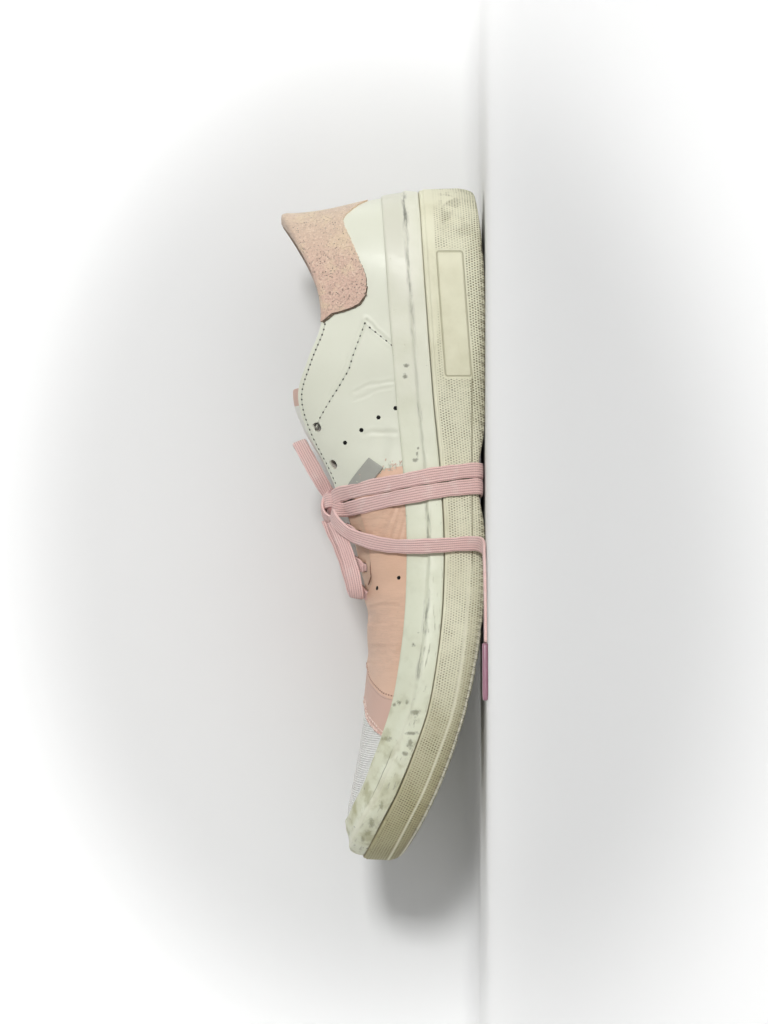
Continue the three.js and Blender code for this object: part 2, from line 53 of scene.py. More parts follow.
SOLE_LOW, SOLE_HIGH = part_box("cup_sole")
ORIGIN = np.array([SOLE_LOW[0], 0.0, 0.0]) / MM  # the heel's back, in the frame

# ------------------------------------------------------------------ where the shoe is looked at from
PICTURE_LENGTH = 413.3  # millimetres from heel end to toe end of the picture
LENS, SENSOR = 135, 36
DISTANCE = PICTURE_LENGTH * LENS / SENSOR
VIEW_X, VIEW_Z = -4.6, 40

# ------------------------------------------------------------------ driving dimensions, as in the part
LENGTH = 270
INNER, OUTER = 1, -1
THROAT_END = 0.65
GAP = 0.35
HEEL_BEVEL_END, HEEL_BEVEL_RISE = 50, 4.2
ARCH_START, ARCH_END, ARCH_RISE = 94, 141, 2.9
CURL_START, CURL_RADIUS = 149, 232
GROOVE_PLACES, GROOVE_EDGE, GROOVE_FLOOR, GROOVE_DEPTH = (26, 176, 190, 204, 218), 1.5, 0.9, 1.6
CUP_WALL = 3.4
UPPER_WALL = 2
UPPER_INSET = CUP_WALL + GAP
INSOLE_INSET = UPPER_INSET + UPPER_WALL + 0.5
INSOLE_THICKNESS = 4
RAND_RIDGE, RAND_HEIGHT = 5.5, 14.5
TAB_THICKNESS = 1.2
EYELET_RADIUS, EYELET_BELOW = 2, 6
EYELET_PLACES = (0.4, 0.447, 0.493, 0.537, 0.577, 0.614)
LACE_WIDTH, LACE_THICKNESS = 6, 1.3
TONGUE_START, TONGUE_END, TONGUE_THICKNESS = 0.35, 0.7, 3.2

SOLE_EDGE = (
    (0, 0), (8, 21), (28, 32), (60, 33), (105, 30), (150, 37), (190, 46), (225, 45), (252, 37), (266, 22),
    (LENGTH, 6), (264, -12), (246, -30), (215, -44), (175, -51), (130, -46), (90, -39), (50, -36), (22, -31),
    (6, -18),
)


# ------------------------------------------------------------------ lengthwise curves
def along(*pairs):
    """A smooth value through (place, value) pairs, level past both ends."""
    places = np.array([p for p, _ in pairs], float)
    values = np.array([v for _, v in pairs], float)
    last = len(pairs) - 1
    before = np.maximum(np.arange(last + 1) - 1, 0)
    after = np.minimum(np.arange(last + 1) + 1, last)
    slopes = (values[after] - values[before]) / (places[after] - places[before])

    def value(place):
        x = np.clip(place, places[0], places[-1])
        i = np.clip(np.searchsorted(places, x, "right") - 1, 0, last - 1)
        step = places[i + 1] - places[i]
        t = (x - places[i]) / step
        bend = t * (1 - t) * step
        rise = (values[i + 1] - values[i]) * t * t * (3 - 2 * t)
        return values[i] + rise + bend * ((1 - t) * slopes[i] - t * slopes[i + 1])

    return value


# By x: the sole's rim, and how thick the cup's floor is.
rim_height = along(
    (0, 26.2), (35, 24.2), (85, 20.4), (111, 17.8), (140, 16.2), (166, 16.8), (186, 18.9), (207, 22.5),
    (223, 27.6), (241, 34.6), (254, 40.8), (LENGTH, 48.4))
floor_thickness = along((0, 13), (80, 12), (130, 8.5), (170, 6.5), (LENGTH, 6))

# By share: the upper's top line, which is collar, throat and then vamp ridge.
top_x = along(
    (0, 11.2), (0.07, 13.5), (0.146, 24), (0.2, 40), (0.25, 55), (0.31, 70), (0.36, 83.5), (0.41, 97),
    (0.46, 113), (0.51, 129), (0.56, 145), (0.6, 158), (0.63, 166), (0.65, 169), (0.73, 185), (0.789, 200),
    (0.88, 224), (0.947, 240), (1, 247))
top_z = along(
    (0, 80.8), (0.07, 80), (0.146, 74), (0.2, 66.6), (0.25, 64.8), (0.31, 70.2), (0.36, 73.9), (0.41, 70.3),
    (0.46, 62), (0.51, 55.4), (0.56, 51.2), (0.6, 48.2), (0.65, 46), (0.73, 45.5), (0.789, 46.9),
    (0.88, 49.6), (0.947, 52.7), (1, 54))
top_middle = along((0, 0), (0.25, -1), (0.41, 0), (0.65, 0.8), (0.789, 2), (0.88, 3.6), (1, 5.6))
open_half_width = along(
    (0, 0), (0.07, 11.5), (0.146, 21.5), (0.2, 25.5), (0.25, 26), (0.31, 23.5), (0.36, 18), (0.41, 13.5),
    (0.46, 11), (0.51, 9.5), (0.56, 8.3), (0.6, 7), (0.63, 4.6), (0.65, 0))
lean_at_rim = along((0, 2), (0.15, 3), (0.4, -6), (0.68, 3), (0.789, 0), (0.88, -6), (0.947, -18), (1, -28))
lean_at_top = along(
    (0, -4), (0.1, 4), (0.25, 6), (0.36, 24), (0.46, 46), (0.56, 62), (0.65, 84), (0.88, 92), (1, 101))
fullness_low = along((0, 0.34), (0.4, 0.4), (0.68, 0.34), (1, 0.34))
fullness_high = along((0, 0.36), (0.25, 0.36), (0.5, 0.36), (0.68, 0.44), (1, 0.34))
tongue_lift = along((0.34, 3), (0.41, 2.2), (0.46, 1.1), (0.51, 0.1), (0.56, -0.6), (0.6, -1.2), (0.65, -2.6))


def step(low, high, value):
    """0 below low, 1 above high and smooth between, also for high below low."""
    t = np.clip((value - low) / (high - low), 0, 1)
    return t * t * (3 - 2 * t)


def bump(centre, reach, value):
    """A soft ridge of height 1 at the centre."""
    return np.exp(-(((value - centre) / reach) ** 2))


def curl_height(x):
    past = np.maximum(0, x - CURL_START)
    return CURL_RADIUS - np.sqrt(CURL_RADIUS**2 - past**2)


def tread_height(x):
    bevel = HEEL_BEVEL_RISE * np.maximum(0, 1 - x / HEEL_BEVEL_END) ** 2
    phase = np.clip((x - ARCH_START) / (ARCH_END - ARCH_START), 0, 1)
    return bevel + ARCH_RISE * np.sin(math.pi * phase) ** 2 + curl_height(x)


def cup_floor(x):
    return curl_height(x) + floor_thickness(x)


# ------------------------------------------------------------------ the sole's edge
def curve_piece(p0, p1, p2, p3, steps):
    """The centripetal curve from p1 up to but not including p2."""
    d0, d1, d2 = (math.dist(a, b) ** 0.5 for a, b in ((p0, p1), (p1, p2), (p2, p3)))
    t1 = ((p1 - p0) / d0 - (p2 - p0) / (d0 + d1) + (p2 - p1) / d1) * d1
    t2 = ((p2 - p1) / d1 - (p3 - p1) / (d1 + d2) + (p3 - p2) / d2) * d1
    t = np.linspace(0, 1, steps, endpoint=False)[:, None]
    return (2 * p1 - 2 * p2 + t1 + t2) * t**3 + (3 * p2 - 3 * p1 - 2 * t1 - t2) * t**2 + t1 * t + p1


def lengths_along(line):
    """How far each point of a line is from its first, along it."""
    return np.concatenate([[0], np.cumsum(np.linalg.norm(np.diff(line, axis=0), axis=1))])


def points_at(places, known, points):
    """Points between the known places of a line."""
    return np.stack([np.interp(places, known, column) for column in np.transpose(points)], -1)


def unit(vectors):
    return vectors / np.linalg.norm(vectors, axis=-1, keepdims=True)


def closed_curve(points, steps):
    """A centripetal curve through the points and back to the first, as points and lengths from the start."""
    ring = np.array(points, float)
    around = [np.roll(ring, 1 - k, axis=0) for k in range(4)]
    line = np.vstack([*(curve_piece(*corners, steps) for corners in zip(*around)), ring[:1]])
    return line, lengths_along(line)


EDGE, EDGE_LENGTHS = closed_curve(SOLE_EDGE, 300)
EDGE_GIRTH = EDGE_LENGTHS[-1]
TOE_TURN = EDGE_LENGTHS[EDGE[:, 0].argmax()] / EDGE_GIRTH


def on_edge(turn):
    return points_at((turn % 1) * EDGE_GIRTH, EDGE_LENGTHS, EDGE)


def edge_turn(share):
    return np.where(share >= 0, share * TOE_TURN, 1 + share * (1 - TOE_TURN))


def edge_point(share, inset):
    """A point of the sole's edge moved inwards, and the direction outwards there."""
    turn = edge_turn(np.asarray(share, float))
    forward = on_edge(turn + 0.001) - on_edge(turn - 0.001)
    outward = unit(np.stack([-forward[..., 1], forward[..., 0]], -1))
    return on_edge(turn) - outward * np.asarray(inset)[..., None], outward


SPINE_START, SPINE_END = 28, 238
spine_y = along((28, -1), (105, -6), (190, -3), (238, 4))


def spine_point(share):
    x = SPINE_START + (SPINE_END - SPINE_START) * np.abs(share)
    return np.stack([x, spine_y(x)], -1)


# ------------------------------------------------------------------ the last's sections
SECTIONS, RISES = 640, 128


def crown(share, lift=0.0):
    """The middle of the top line, moved up."""
    return np.stack([top_x(share), top_middle(share), top_z(share) + lift], -1)


def half_opening(share):
    """Half the width of collar and throat, and nothing from the throat's end on."""
    return np.where(share < THROAT_END - 1e-6, open_half_width(share), 0)


def bezier(start, low, high, end, steps):
    """One curve for each row of its four points."""
    t = np.linspace(0, 1, steps + 1)[None, :, None]
    start, low, high, end = (points[:, None] for points in (start, low, high, end))
    return (1 - t) ** 3 * start + 3 * t * (1 - t) ** 2 * low + 3 * t * t * (1 - t) * high + t**3 * end


def lay_out_last(side):
    """The upper's outer face on one side: points by share and by share of the girth from rim to top line,
    their normals, the girths, and the face's foot inside the cup."""
    share = np.linspace(0, 1, SECTIONS + 1)
    foot, outward = edge_point(side * share, UPPER_INSET)
    edge, _ = edge_point(side * share, 0)
    rim = np.column_stack([foot, rim_height(edge[:, 0]) + GAP + 0.15])
    top = crown(share)
    top[:, 1] += side * half_opening(share)
    reach = np.linalg.norm(rim - top, axis=1, keepdims=True)
    sideways = unit((rim - top) * (1, 1, 0))
    low, high = (np.radians(lean(share))[:, None] for lean in (lean_at_rim, lean_at_top))
    up = np.array([0, 0, 1])
    outward = np.column_stack([outward, np.zeros(len(share))])
    low_handle = rim + fullness_low(share)[:, None] * reach * (outward * np.sin(low) + up * np.cos(low))
    high_handle = top + fullness_high(share)[:, None] * reach * (sideways * np.sin(high) - up * np.cos(high))
    curves = bezier(rim, low_handle, high_handle, top, RISES)
    lengths = np.array([lengths_along(curve) for curve in curves])
    even = np.linspace(0, 1, RISES + 1)
    points = np.array([points_at(even * known[-1], known, curve) for known, curve in zip(lengths, curves)])
    normals = np.cross(np.gradient(points, axis=0), np.gradient(points, axis=1)) * -side
    normals /= np.linalg.norm(normals, axis=2, keepdims=True) + 1e-12
    bottom = np.column_stack([foot, cup_floor(foot[:, 0]) + GAP])
    return points, normals, lengths[:, -1], bottom


LAST = {side: lay_out_last(side) for side in (INNER, OUTER)}
RIDGE_ROWS = 14


def join_ridge():
    """Gives both sides the same normals where they meet over the vamp."""
    first = int(THROAT_END * SECTIONS)
    for row in range(RIDGE_ROWS):
        share = 0.5 * (1 - row / RIDGE_ROWS)
        inner, outer = (LAST[side][1][first:, RISES - row] for side in (INNER, OUTER))
        mixed = inner * (1 - share) + outer * share, outer * (1 - share) + inner * share
        for side, normals in zip((INNER, OUTER), mixed):
            size = np.maximum(np.linalg.norm(normals, axis=1, keepdims=True), 1e-6)
            LAST[side][1][first:, RISES - row] = normals / size


join_ridge()


def table_at(table, share, rise=None):
    """A table's value between its entries."""
    a = np.clip(share, 0, 1) * SECTIONS
    i = np.minimum(a.astype(int), SECTIONS - 1)
    ta = a - i
    if rise is None:
        ta = ta.reshape(ta.shape + (1,) * (table.ndim - 1))
        return table[i] * (1 - ta) + table[i + 1] * ta
    b = np.clip(rise, 0, 1) * RISES
    j = np.minimum(b.astype(int), RISES - 1)
    tb = (b - j)[..., None]
    ta = ta[..., None]
    return (table[i, j] * (1 - ta) + table[i + 1, j] * ta) * (1 - tb) + (
        table[i, j + 1] * (1 - ta) + table[i + 1, j + 1] * ta) * tb


def girth_at(u):
    inner, outer = (table_at(LAST[side][2], np.abs(np.asarray(u, float))) for side in (INNER, OUTER))
    return np.where(np.asarray(u) >= 0, inner, outer)


TOE_KEPT, TOE_SQUASH = 7, 0.75  # how far above the rim the tip is pressed down, and how much of what is over


def round_toe(points):
    """Presses the worn tip of the toe down into a slope."""
    x, z = points[..., 0], points[..., 2]
    over = np.maximum(z - rim_height(x) - TOE_KEPT, 0)
    points[..., 2] = z - over * TOE_SQUASH * step(254, 269, x)
    return points


def skin(u, up, out=0.0, relief=True):
    """Points of the upper's outer face at signed shares and distances up from the rim, moved out along it.
    Below the rim the face goes down inside the cup."""
    u, up = np.broadcast_arrays(np.asarray(u, float), np.asarray(up, float))
    rise = up / girth_at(u)
    found = np.empty(u.shape + (3,))
    for side, here in ((INNER, u >= 0), (OUTER, u < 0)):
        points, normals, _, bottom = LAST[side]
        share, at = np.abs(u[here]), rise[here]
        place = table_at(points, share, at)
        down = np.clip(-at, 0, 1)[..., None]
        place = place * (1 - down) + table_at(bottom, share) * down
        lift = np.broadcast_to(out, u.shape)[here].astype(float)
        if relief:
            lift = lift + wear_relief(u[here], up[here], place)
        found[here] = place + table_at(normals, share, at) * lift[..., None]
    return round_toe(found)


# Worn-in marks, each as points (x, z) seen from the side, a depth and a width.
CREASES = (
    (((82.2, 51.5), (79.6, 44), (78.6, 37.5), (78.4, 33)), 0.2, 0.6),
    (((86, 52), (82.8, 44), (80.4, 37), (79.8, 33)), 0.15, 0.5),
    (((99.6, 48), (98.6, 42), (98.8, 35)), 0.22, 0.8),
    (((117, 45), (108, 41), (100, 40)), 0.35, 2.6),
    (((54.4, 46.9), (60.5, 40.8), (65.5, 34)), 0.25, 0.6),
    (((54.4, 46.9), (72.8, 54.2), (84.7, 61.1), (95.7, 66.2)), 0.25, 0.6),
    (((139, 41.5), (133.5, 38.6), (128.5, 36)), 0.45, 1.3),
    (((142.5, 38.4), (135.5, 35.9), (129, 33.8)), 0.4, 0.8),
    (((144, 35.9), (137.5, 33.4), (130.6, 32)), 0.35, 0.7),
    (((147, 33.2), (140, 31.8), (132, 31)), 0.25, 0.7),
    (((172, 52), (171, 40), (169.5, 30)), 0.45, 3.2),
    (((168, 44), (167.4, 34)), 0.25, 0.7),
    (((174.6, 45), (173.6, 35)), 0.25, 0.7),
    (((188, 52), (187, 40), (185.4, 30)), 0.35, 2.6),
    (((184.6, 44), (183.8, 36)), 0.25, 0.7),
    (((190.6, 45), (189.6, 37)), 0.25, 0.7),
    (((159, 50), (158, 40), (157.4, 31)), 0.3, 2.6),
)
SWELLS = (  # soft raised places: centre (x, z), how far they reach, height
    ((70, 43), 9, 0.5), ((92, 53), 9, 0.35), ((152, 40), 8, 0.55), ((179.5, 42), 5, 0.45),
    ((25, 60), 16, 0.3),
)


def line_distance(x, z, stops):
    """How far places are from a line of straight pieces."""
    nearest = np.full(np.shape(x), 1e9)
    for (x0, z0), (x1, z1) in zip(stops, stops[1:]):
        dx, dz = x1 - x0, z1 - z0
        t = np.clip(((x - x0) * dx + (z - z0) * dz) / (dx * dx + dz * dz), 0, 1)
        nearest = np.minimum(nearest, np.hypot(x - x0 - t * dx, z - z0 - t * dz))
    return nearest


def wear_relief(u, up, place):
    """How far creases and swells move the upper's face: a trough each, with low ridges beside it."""
    x, z = place[..., 0], place[..., 2]
    relief = np.zeros(np.shape(x))
    wander = 0.5 * np.sin(z / 2.3 + x / 3.1) + 0.35 * np.sin(z / 1.1 - x / 1.7)
    for stops, depth, width in CREASES:
        away = line_distance(x + wander * 0.5, z, stops)
        relief += depth * (0.55 * bump(1.9 * width, width, away) - bump(0, width, away))
    for (centre_x, centre_z), reach, height in SWELLS:
        relief += height * np.exp(-((x - centre_x) ** 2 + (z - centre_z) ** 2) / reach**2)
    return relief * step(-2, 4, up) * step(0, 5, girth_at(u) - up + 2.5)


# ------------------------------------------------------------------ meshes
def to_frame(points):
    return (np.asarray(points) + ORIGIN + np.array([0, SHIFT_Y, 0])) * MM


INSIDE_Z = 20  # the height of the shoe's middle line, which outer faces look away from
SHIFT_Y = (SOLE_LOW[1] + SOLE_HIGH[1]) / 2 / MM - (EDGE[:, 1].min() + EDGE[:, 1].max()) / 2


def new_mesh():
    mesh = bmesh.new()
    mesh.loops.layers.uv.new("UVMap")
    return mesh


def sheet_mesh(columns, rows, place, merge=0.02):
    """A grid whose points place(a, b) puts, with a and b from 0 to 1, and its UV map in millimetres."""
    mesh = new_mesh()
    bmesh.ops.create_grid(mesh, x_segments=columns, y_segments=rows, size=1, calc_uvs=True)
    verts = list(mesh.verts)
    a = np.array([(v.co.x + 1) / 2 for v in verts])
    b = np.array([(v.co.y + 1) / 2 for v in verts])
    points, marks = place(a, b)
    uv_layer = mesh.loops.layers.uv.active
    for vert, point, mark in zip(verts, to_frame(points), marks):
        vert.co = point
        for loop in vert.link_loops:
            loop[uv_layer].uv = mark
    if merge:
        bmesh.ops.remove_doubles(mesh, verts=mesh.verts, dist=merge * MM)
    mesh.normal_update()
    face_outwards(mesh)
    return mesh


def face_outwards(mesh):
    """Turns all faces over if they look at the shoe's middle line."""
    total = 0
    for face in mesh.faces:
        centre = face.calc_center_median()
        total += face.calc_area() * face.normal.dot(centre - Vector((centre.x, 0, INSIDE_Z * MM)))
    if total < 0:
        bmesh.ops.reverse_faces(mesh, faces=mesh.faces)


def move_into(whole, patch):
    """Adds a patch to a mesh and frees it."""
    data = bpy.data.meshes.new("patch")
    patch.to_mesh(data)
    patch.free()
    whole.from_mesh(data)
    bpy.data.meshes.remove(data)


def finish_piece(name, mesh, material, replaces=()):
    """Turns a bmesh into an object that rides on the shoe."""
    data = bpy.data.meshes.new(name)
    mesh.to_mesh(data)
    mesh.free()
    piece = bpy.data.objects.new(name, data)
    bpy.context.scene.collection.objects.link(piece)
    for polygon in data.polygons:
        polygon.use_smooth = True
    for each in material if isinstance(material, (list, tuple)) else [material]:
        data.materials.append(each)
    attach(piece, "root")
    if replaces:
        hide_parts(*replaces)
    return piece


def thicken(piece, thickness, inner=0, rim=0):
    """A wall of a real thickness. Inner and rim say how many materials further on its inside and rim are."""
    solid = piece.modifiers.new("Wall", "SOLIDIFY")
    solid.thickness, solid.offset = thickness * MM, -1
    solid.material_offset, solid.material_offset_rim = inner, rim


def soft_edge(piece, width):
    bevel = piece.modifiers.new("Soft edge", "BEVEL")
    bevel.width, bevel.segments, bevel.angle_limit = width * MM, 2, math.radians(55)


# ------------------------------------------------------------------ material maths
class Value:
    """A node socket that takes part in Python arithmetic."""

    def __init__(self, maker, socket):
        self.maker, self.socket = maker, socket

    def _math(self, operation, *others):
        return self.maker.node("Math", {"operation": operation}, [self, *others])

    def __add__(self, other):
        return self._math("ADD", other)

    def __sub__(self, other):
        return self._math("SUBTRACT", other)

    def __rsub__(self, other):
        return self.maker.node("Math", {"operation": "SUBTRACT"}, [other, self])

    def __mul__(self, other):
        return self._math("MULTIPLY", other)

    __radd__, __rmul__ = __add__, __mul__

    def __truediv__(self, other):
        return self._math("DIVIDE", other)

    def __pow__(self, other):
        return self._math("POWER", other)

    def floor(self):
        return self._math("FLOOR")

    def fraction(self):
        return self._math("FRACT")

    def distance(self):
        return self._math("ABSOLUTE")

    def least(self, other):
        return self._math("MINIMUM", other)

    def most(self, other):
        return self._math("MAXIMUM", other)

    def between(self, low, high):
        """0 at low, 1 at high, smooth between."""
        settings = {"interpolation_type": "SMOOTHSTEP"}
        return self.maker.node("MapRange", settings, {"Value": self, "From Min": low, "From Max": high})


class Finish:
    """A material whose nodes are made one call at a time."""

    def __init__(self, name, **shader):
        self.material = bpy.data.materials.new(name)
        self.material.use_nodes = True
        self.tree = self.material.node_tree
        self.shader = self.tree.nodes["Principled BSDF"]
        for socket, value in shader.items():
            self.shader.inputs[socket.replace("_", " ")].default_value = value
        self.places = self.node("TexCoord", output="Object")
        self.cloth = self.node("UVMap")

    def node(self, kind, settings=None, values=(), output=0):
        made = self.tree.nodes.new("ShaderNode" + kind)
        for name, value in (settings or {}).items():
            setattr(made, name, value)
        for key, value in values.items() if isinstance(values, dict) else enumerate(values):
            socket = self._socket(made, key)
            if isinstance(value, Value):
                self.tree.links.new(value.socket, socket)
            else:
                socket.default_value = value
        return Value(self, made.outputs[output])

    def _socket(self, made, key):
        if isinstance(key, int):
            return made.inputs[key]
        return next(s for s in made.inputs if s.name == key and s.enabled)

    def noise(self, size, detail=3.0, rough=0.5, at=None, warp=0.0):
        """Noise from 0 to 1 whose lumps are about size millimetres."""
        values = {"Vector": at or self.places, "Scale": 1 / (size * MM), "Detail": detail, "Roughness": rough}
        return self.node("TexNoise", {}, {**values, "Distortion": warp})

    def blend(self, factor, first, second, kind="MIX"):
        made = self.tree.nodes.new("ShaderNodeMix")
        made.data_type, made.blend_type = "RGBA", kind
        for key, value in ((0, factor), (6, first), (7, second)):
            if isinstance(value, Value):
                self.tree.links.new(value.socket, made.inputs[key])
            elif key == 0:
                made.inputs[0].default_value = value
            else:
                made.inputs[key].default_value = (*value, 1)
        return Value(self, made.outputs[2])

    def coat(self, colour, *coats):
        """Lays coats, each how much of it shows and its colour, over a colour one after another."""
        for much, tint in coats:
            colour = self.blend(much, colour, tint)
        return colour

    def stretched(self, at, scale, turn=0.0):
        """Places scaled along their axes, after a turn in their plane."""
        return self.node("Mapping", {}, {"Vector": at, "Rotation": (0, 0, turn), "Scale": scale})

    def from_heel(self):
        """Millimetres from the back of the heel."""
        return self.axes(self.places)[0] / MM - float(ORIGIN[0])

    def axes(self, at):
        made = self.tree.nodes.new("ShaderNodeSeparateXYZ")
        self.tree.links.new(at.socket, made.inputs[0])
        return [Value(self, s) for s in made.outputs]

    def seen(self):
        """Millimetres from the heel and up, as they look from the side the shoe is looked at from."""
        x, y, z = self.axes(self.places)
        nearer = (1 - y.distance() / (DISTANCE * MM)) ** -1
        from_heel = (x / MM - VIEW_X) * nearer + float(VIEW_X - ORIGIN[0])
        return from_heel, (z / MM - VIEW_Z) * nearer + VIEW_Z

    def wear(self, colour, roughness=None, height=None, depth=1.0):
        """Links what changes over the surface. Depth is the millimetres of a height of 1."""
        for name, value in (("Base Color", colour), ("Roughness", roughness)):
            if value is not None:
                self.tree.links.new(value.socket, self.shader.inputs[name])
        if height is not None:
            relief = self.node("Bump", {}, {"Height": height, "Strength": 1.0, "Distance": depth * MM})
            self.tree.links.new(relief.socket, self.shader.inputs["Normal"])
        return self.material


# ------------------------------------------------------------------ finishes
DOT_PITCH = 1.05
RIB_PITCH, YARN_PITCH = 0.85, 0.55
LUG_PITCH = 3.2
PANEL_START, PANEL_END = 27.5, 76.7  # from the heel
PANEL_TOP, PANEL_BOTTOM = 5.5, 15.6  # down from the rim
PANEL_CORNER = 0.9


def box_distance(a, b, low, high, corner):
    """Millimetres outside (or, below zero, inside) a rectangle with round corners."""
    middle = [(p + q) / 2 for p, q in zip(low, high)]
    half = [(q - p) / 2 - corner for p, q in zip(low, high)]
    over_a = (a - middle[0]).distance() - half[0]
    over_b = (b - middle[1]).distance() - half[1]
    outside = (over_a.most(0) ** 2 + over_b.most(0) ** 2) ** 0.5
    return outside + over_a.most(over_b).least(0) - corner


def rows_of_dots(finish, run, down):
    """1 on fine dots, every other row half a pitch along, and 0 between them."""
    wobble = finish.noise(9, 2) * 0.6
    row = ((down + wobble) / DOT_PITCH).floor()
    column = ((run + wobble) / DOT_PITCH + row * 0.5).fraction() - 0.5
    line = ((down + wobble) / DOT_PITCH).fraction() - 0.5
    size = finish.noise(1.4, 2) * 0.14
    return (column * column * 1.5 + line * line + size).between(0.22, 0.10)


def dirt_in_dots(finish, from_heel, down, toe):
    """How much dirt the dots hold, and the smudge at the heel."""
    patchy = finish.noise(6, 5, 0.65).between(0.40, 0.60)
    worn_clean = finish.noise(9, 3).between(0.48, 0.62)
    clean = (from_heel.between(2, 60) * 0.6 + worn_clean * 0.5 + 0.12).least(1)
    low = down.between(11, 19)
    foul = (0.42 + patchy * 0.42 + low * 0.35 + toe * 0.4).least(1) * (clean + low * 0.5).least(1)
    smudge = finish.noise(7, 3).between(0.46, 0.58) * from_heel.between(32, 20) * down.between(7, 9)
    return foul.most(smudge * 0.9), smudge


def tread_line(x):
    """Roughly the height of the tread, for what only the tread gets."""
    past = (x - float(CURL_START + ORIGIN[0]) * MM).most(0)
    return CURL_RADIUS * MM - ((CURL_RADIUS * MM) ** 2 - past * past) ** 0.5


def tread_marks(finish, from_heel):
    """Where the tread is, as a band for painted shade, the lugs on it, and the pale edge over it at the toe.
    """
    x, y, z = finish.axes(finish.places)
    above = (z - tread_line(x)) / MM
    # under: the band just over the tread, which gets painted shade.
    under = above.between(3.5, 0.5)
    rib = ((x + y.distance() * 0.6) / (LUG_PITCH * MM)).fraction() - 0.5
    edge = above.between(1.5, 1.1) * above.between(0.2, 0.6) * from_heel.between(160, 195)
    return under, rib.distance().between(0.12, 0.22) * under, edge


def make_sole_rubber():
    """Cream rubber with rows of fine sunk dots that hold the dirt, a smooth lip and a bare panel."""
    finish = Finish("sole rubber", Roughness=0.72, Specular_IOR_Level=0.35)
    _, y, z = finish.axes(finish.places)
    run, down, _ = finish.axes(finish.cloth)
    from_heel = finish.from_heel()
    toe = from_heel.between(165, 262)
    inner = y.between(-0.001, 0.001)
    panel = box_distance(from_heel, down, (PANEL_START, PANEL_TOP), (PANEL_END, PANEL_BOTTOM), PANEL_CORNER)
    bare = (panel.between(1.4, 0.7) * inner).least(1)
    # line: painted shade in the groove round the bare panel.
    line = panel.distance().between(0.5, 0.1) * inner
    lip = 1.7 + from_heel.between(85, 35) * 3.1 - from_heel.between(125, 165) * 0.8
    dots = rows_of_dots(finish, run, down) * (down - lip).between(0, 0.6) * (1 - bare)
    foul, smudge = dirt_in_dots(finish, from_heel, down, toe)
    stain = finish.noise(22, 5, 0.6).between(0.45, 0.75)
    crust = finish.noise(1.3, 4, 0.7, warp=0.6).between(0.56, 0.70) * from_heel.between(25, 70)
    crust = crust * finish.noise(9, 4, 0.6).between(0.42, 0.62)
    # crest: a painted highlight along the ridge over the lower facet.
    crest = (down - 9.7).distance().between(0.7, 0.15) * from_heel.between(140, 175)
    # below: painted shade on the sidewall's lower facet toward the toe, under the crest.
    below = down.between(10, 11.6) * from_heel.between(120, 200)
    # low_line: painted shade in the low groove along the sidewall.
    low_line = (z / MM - 5.2).distance().between(0.35, 0.08)
    low_line = low_line * from_heel.between(72, 80) * from_heel.between(158, 146)
    under, lugs, edge = tread_marks(finish, from_heel)
    colour = finish.coat(
        finish.blend(finish.noise(45, 3), (0.79, 0.775, 0.605), (0.725, 0.705, 0.53)),
        # Darker and browner toward the toe: stains, dirt and painted shade.
        ((stain * 0.22 + toe * 0.8).least(0.85), (0.35, 0.32, 0.165)),
        ((dots * foul * 0.9).least(0.9), (0.15, 0.125, 0.065)),
        (crust * down.between(13, 18) * 0.75, (0.13, 0.115, 0.07)),
        # Painted shade on the lower facet.
        (below * 0.42, (0.30, 0.265, 0.145)),
        # Painted highlight on the ridge.
        (crest * 0.8, (0.80, 0.775, 0.60)),
        # Painted shade in the low groove.
        (low_line * 0.65, (0.24, 0.21, 0.12)),
        (smudge * 0.22, (0.33, 0.31, 0.20)),
        # Painted shade in the groove round the bare panel.
        (line * 0.5, (0.27, 0.245, 0.14)),
        (down.between(0.4, 0.05) * (0.25 + from_heel.between(110, 180) * 0.5), (0.22, 0.185, 0.10)),
        # Painted shade on the band over the tread, deeper between the lugs.
        (under * (0.2 + (1 - lugs) * 0.45), (0.24, 0.215, 0.145)),
        (edge * 0.75, (0.78, 0.76, 0.64)),
    )
    height = dots * (foul * -0.6 - 0.25) - line * 0.9 - bare * 0.5 - low_line + crest
    height = height + finish.noise(0.7, 2) * 0.15 + lugs * 2.2 - crust * 0.2
    return finish.wear(colour, height=height, depth=0.3)


RUBBED = (  # from, to, and how dark the bead is there
    (1, 22, 0.75), (20, 62, 0.35), (84, 96, 0.3), (126, 145, 0.55), (162, 180, 0.85), (182, 198, 0.5),
)
# The mark at (222, 39) is partly dirt and partly painted shade under the toe strip's front edge.
RAND_BLOTS = (  # x, z, half length, half height
    (208.2, 35.8, 0.8, 0.7), (207.4, 33.9, 1, 0.9), (207.2, 30.8, 1, 0.7), (211.3, 27.4, 1.1, 1.9),
    (219.7, 28.9, 0.8, 2.6), (224, 29.6, 2.2, 1.3), (227.9, 31.6, 1.1, 1.1), (222, 39, 1, 2.6),
    (184, 28.1, 0.9, 0.8), (109.4, 27.3, 0.8, 1.2), (107, 26.6, 1, 0.5), (104.6, 26.2, 0.6, 0.5),
    (75.5, 31.5, 1.1, 0.9), (71.3, 31, 0.8, 1), (249, 41, 1.8, 0.8), (256, 45, 2, 1.1), (260, 46.4, 1.1, 1.4),
    (262.5, 48.6, 1.4, 0.8), (251, 55.5, 1.6, 1.8),
)


def blots_on(finish, a, b, places):
    """Soft-edged dark marks, 0 to 1, with ragged outlines."""
    ragged = finish.noise(1.3, 5, 0.75) * 2.8 - 1.4
    found = None
    for at_a, at_b, half_a, half_b in places:
        away = (((a - at_a) / half_a) ** 2 + ((b - at_b) / half_b) ** 2) ** 0.5 + ragged
        mark = away.between(1.3, 0.35)
        found = mark if found is None else found.most(mark)
    return found


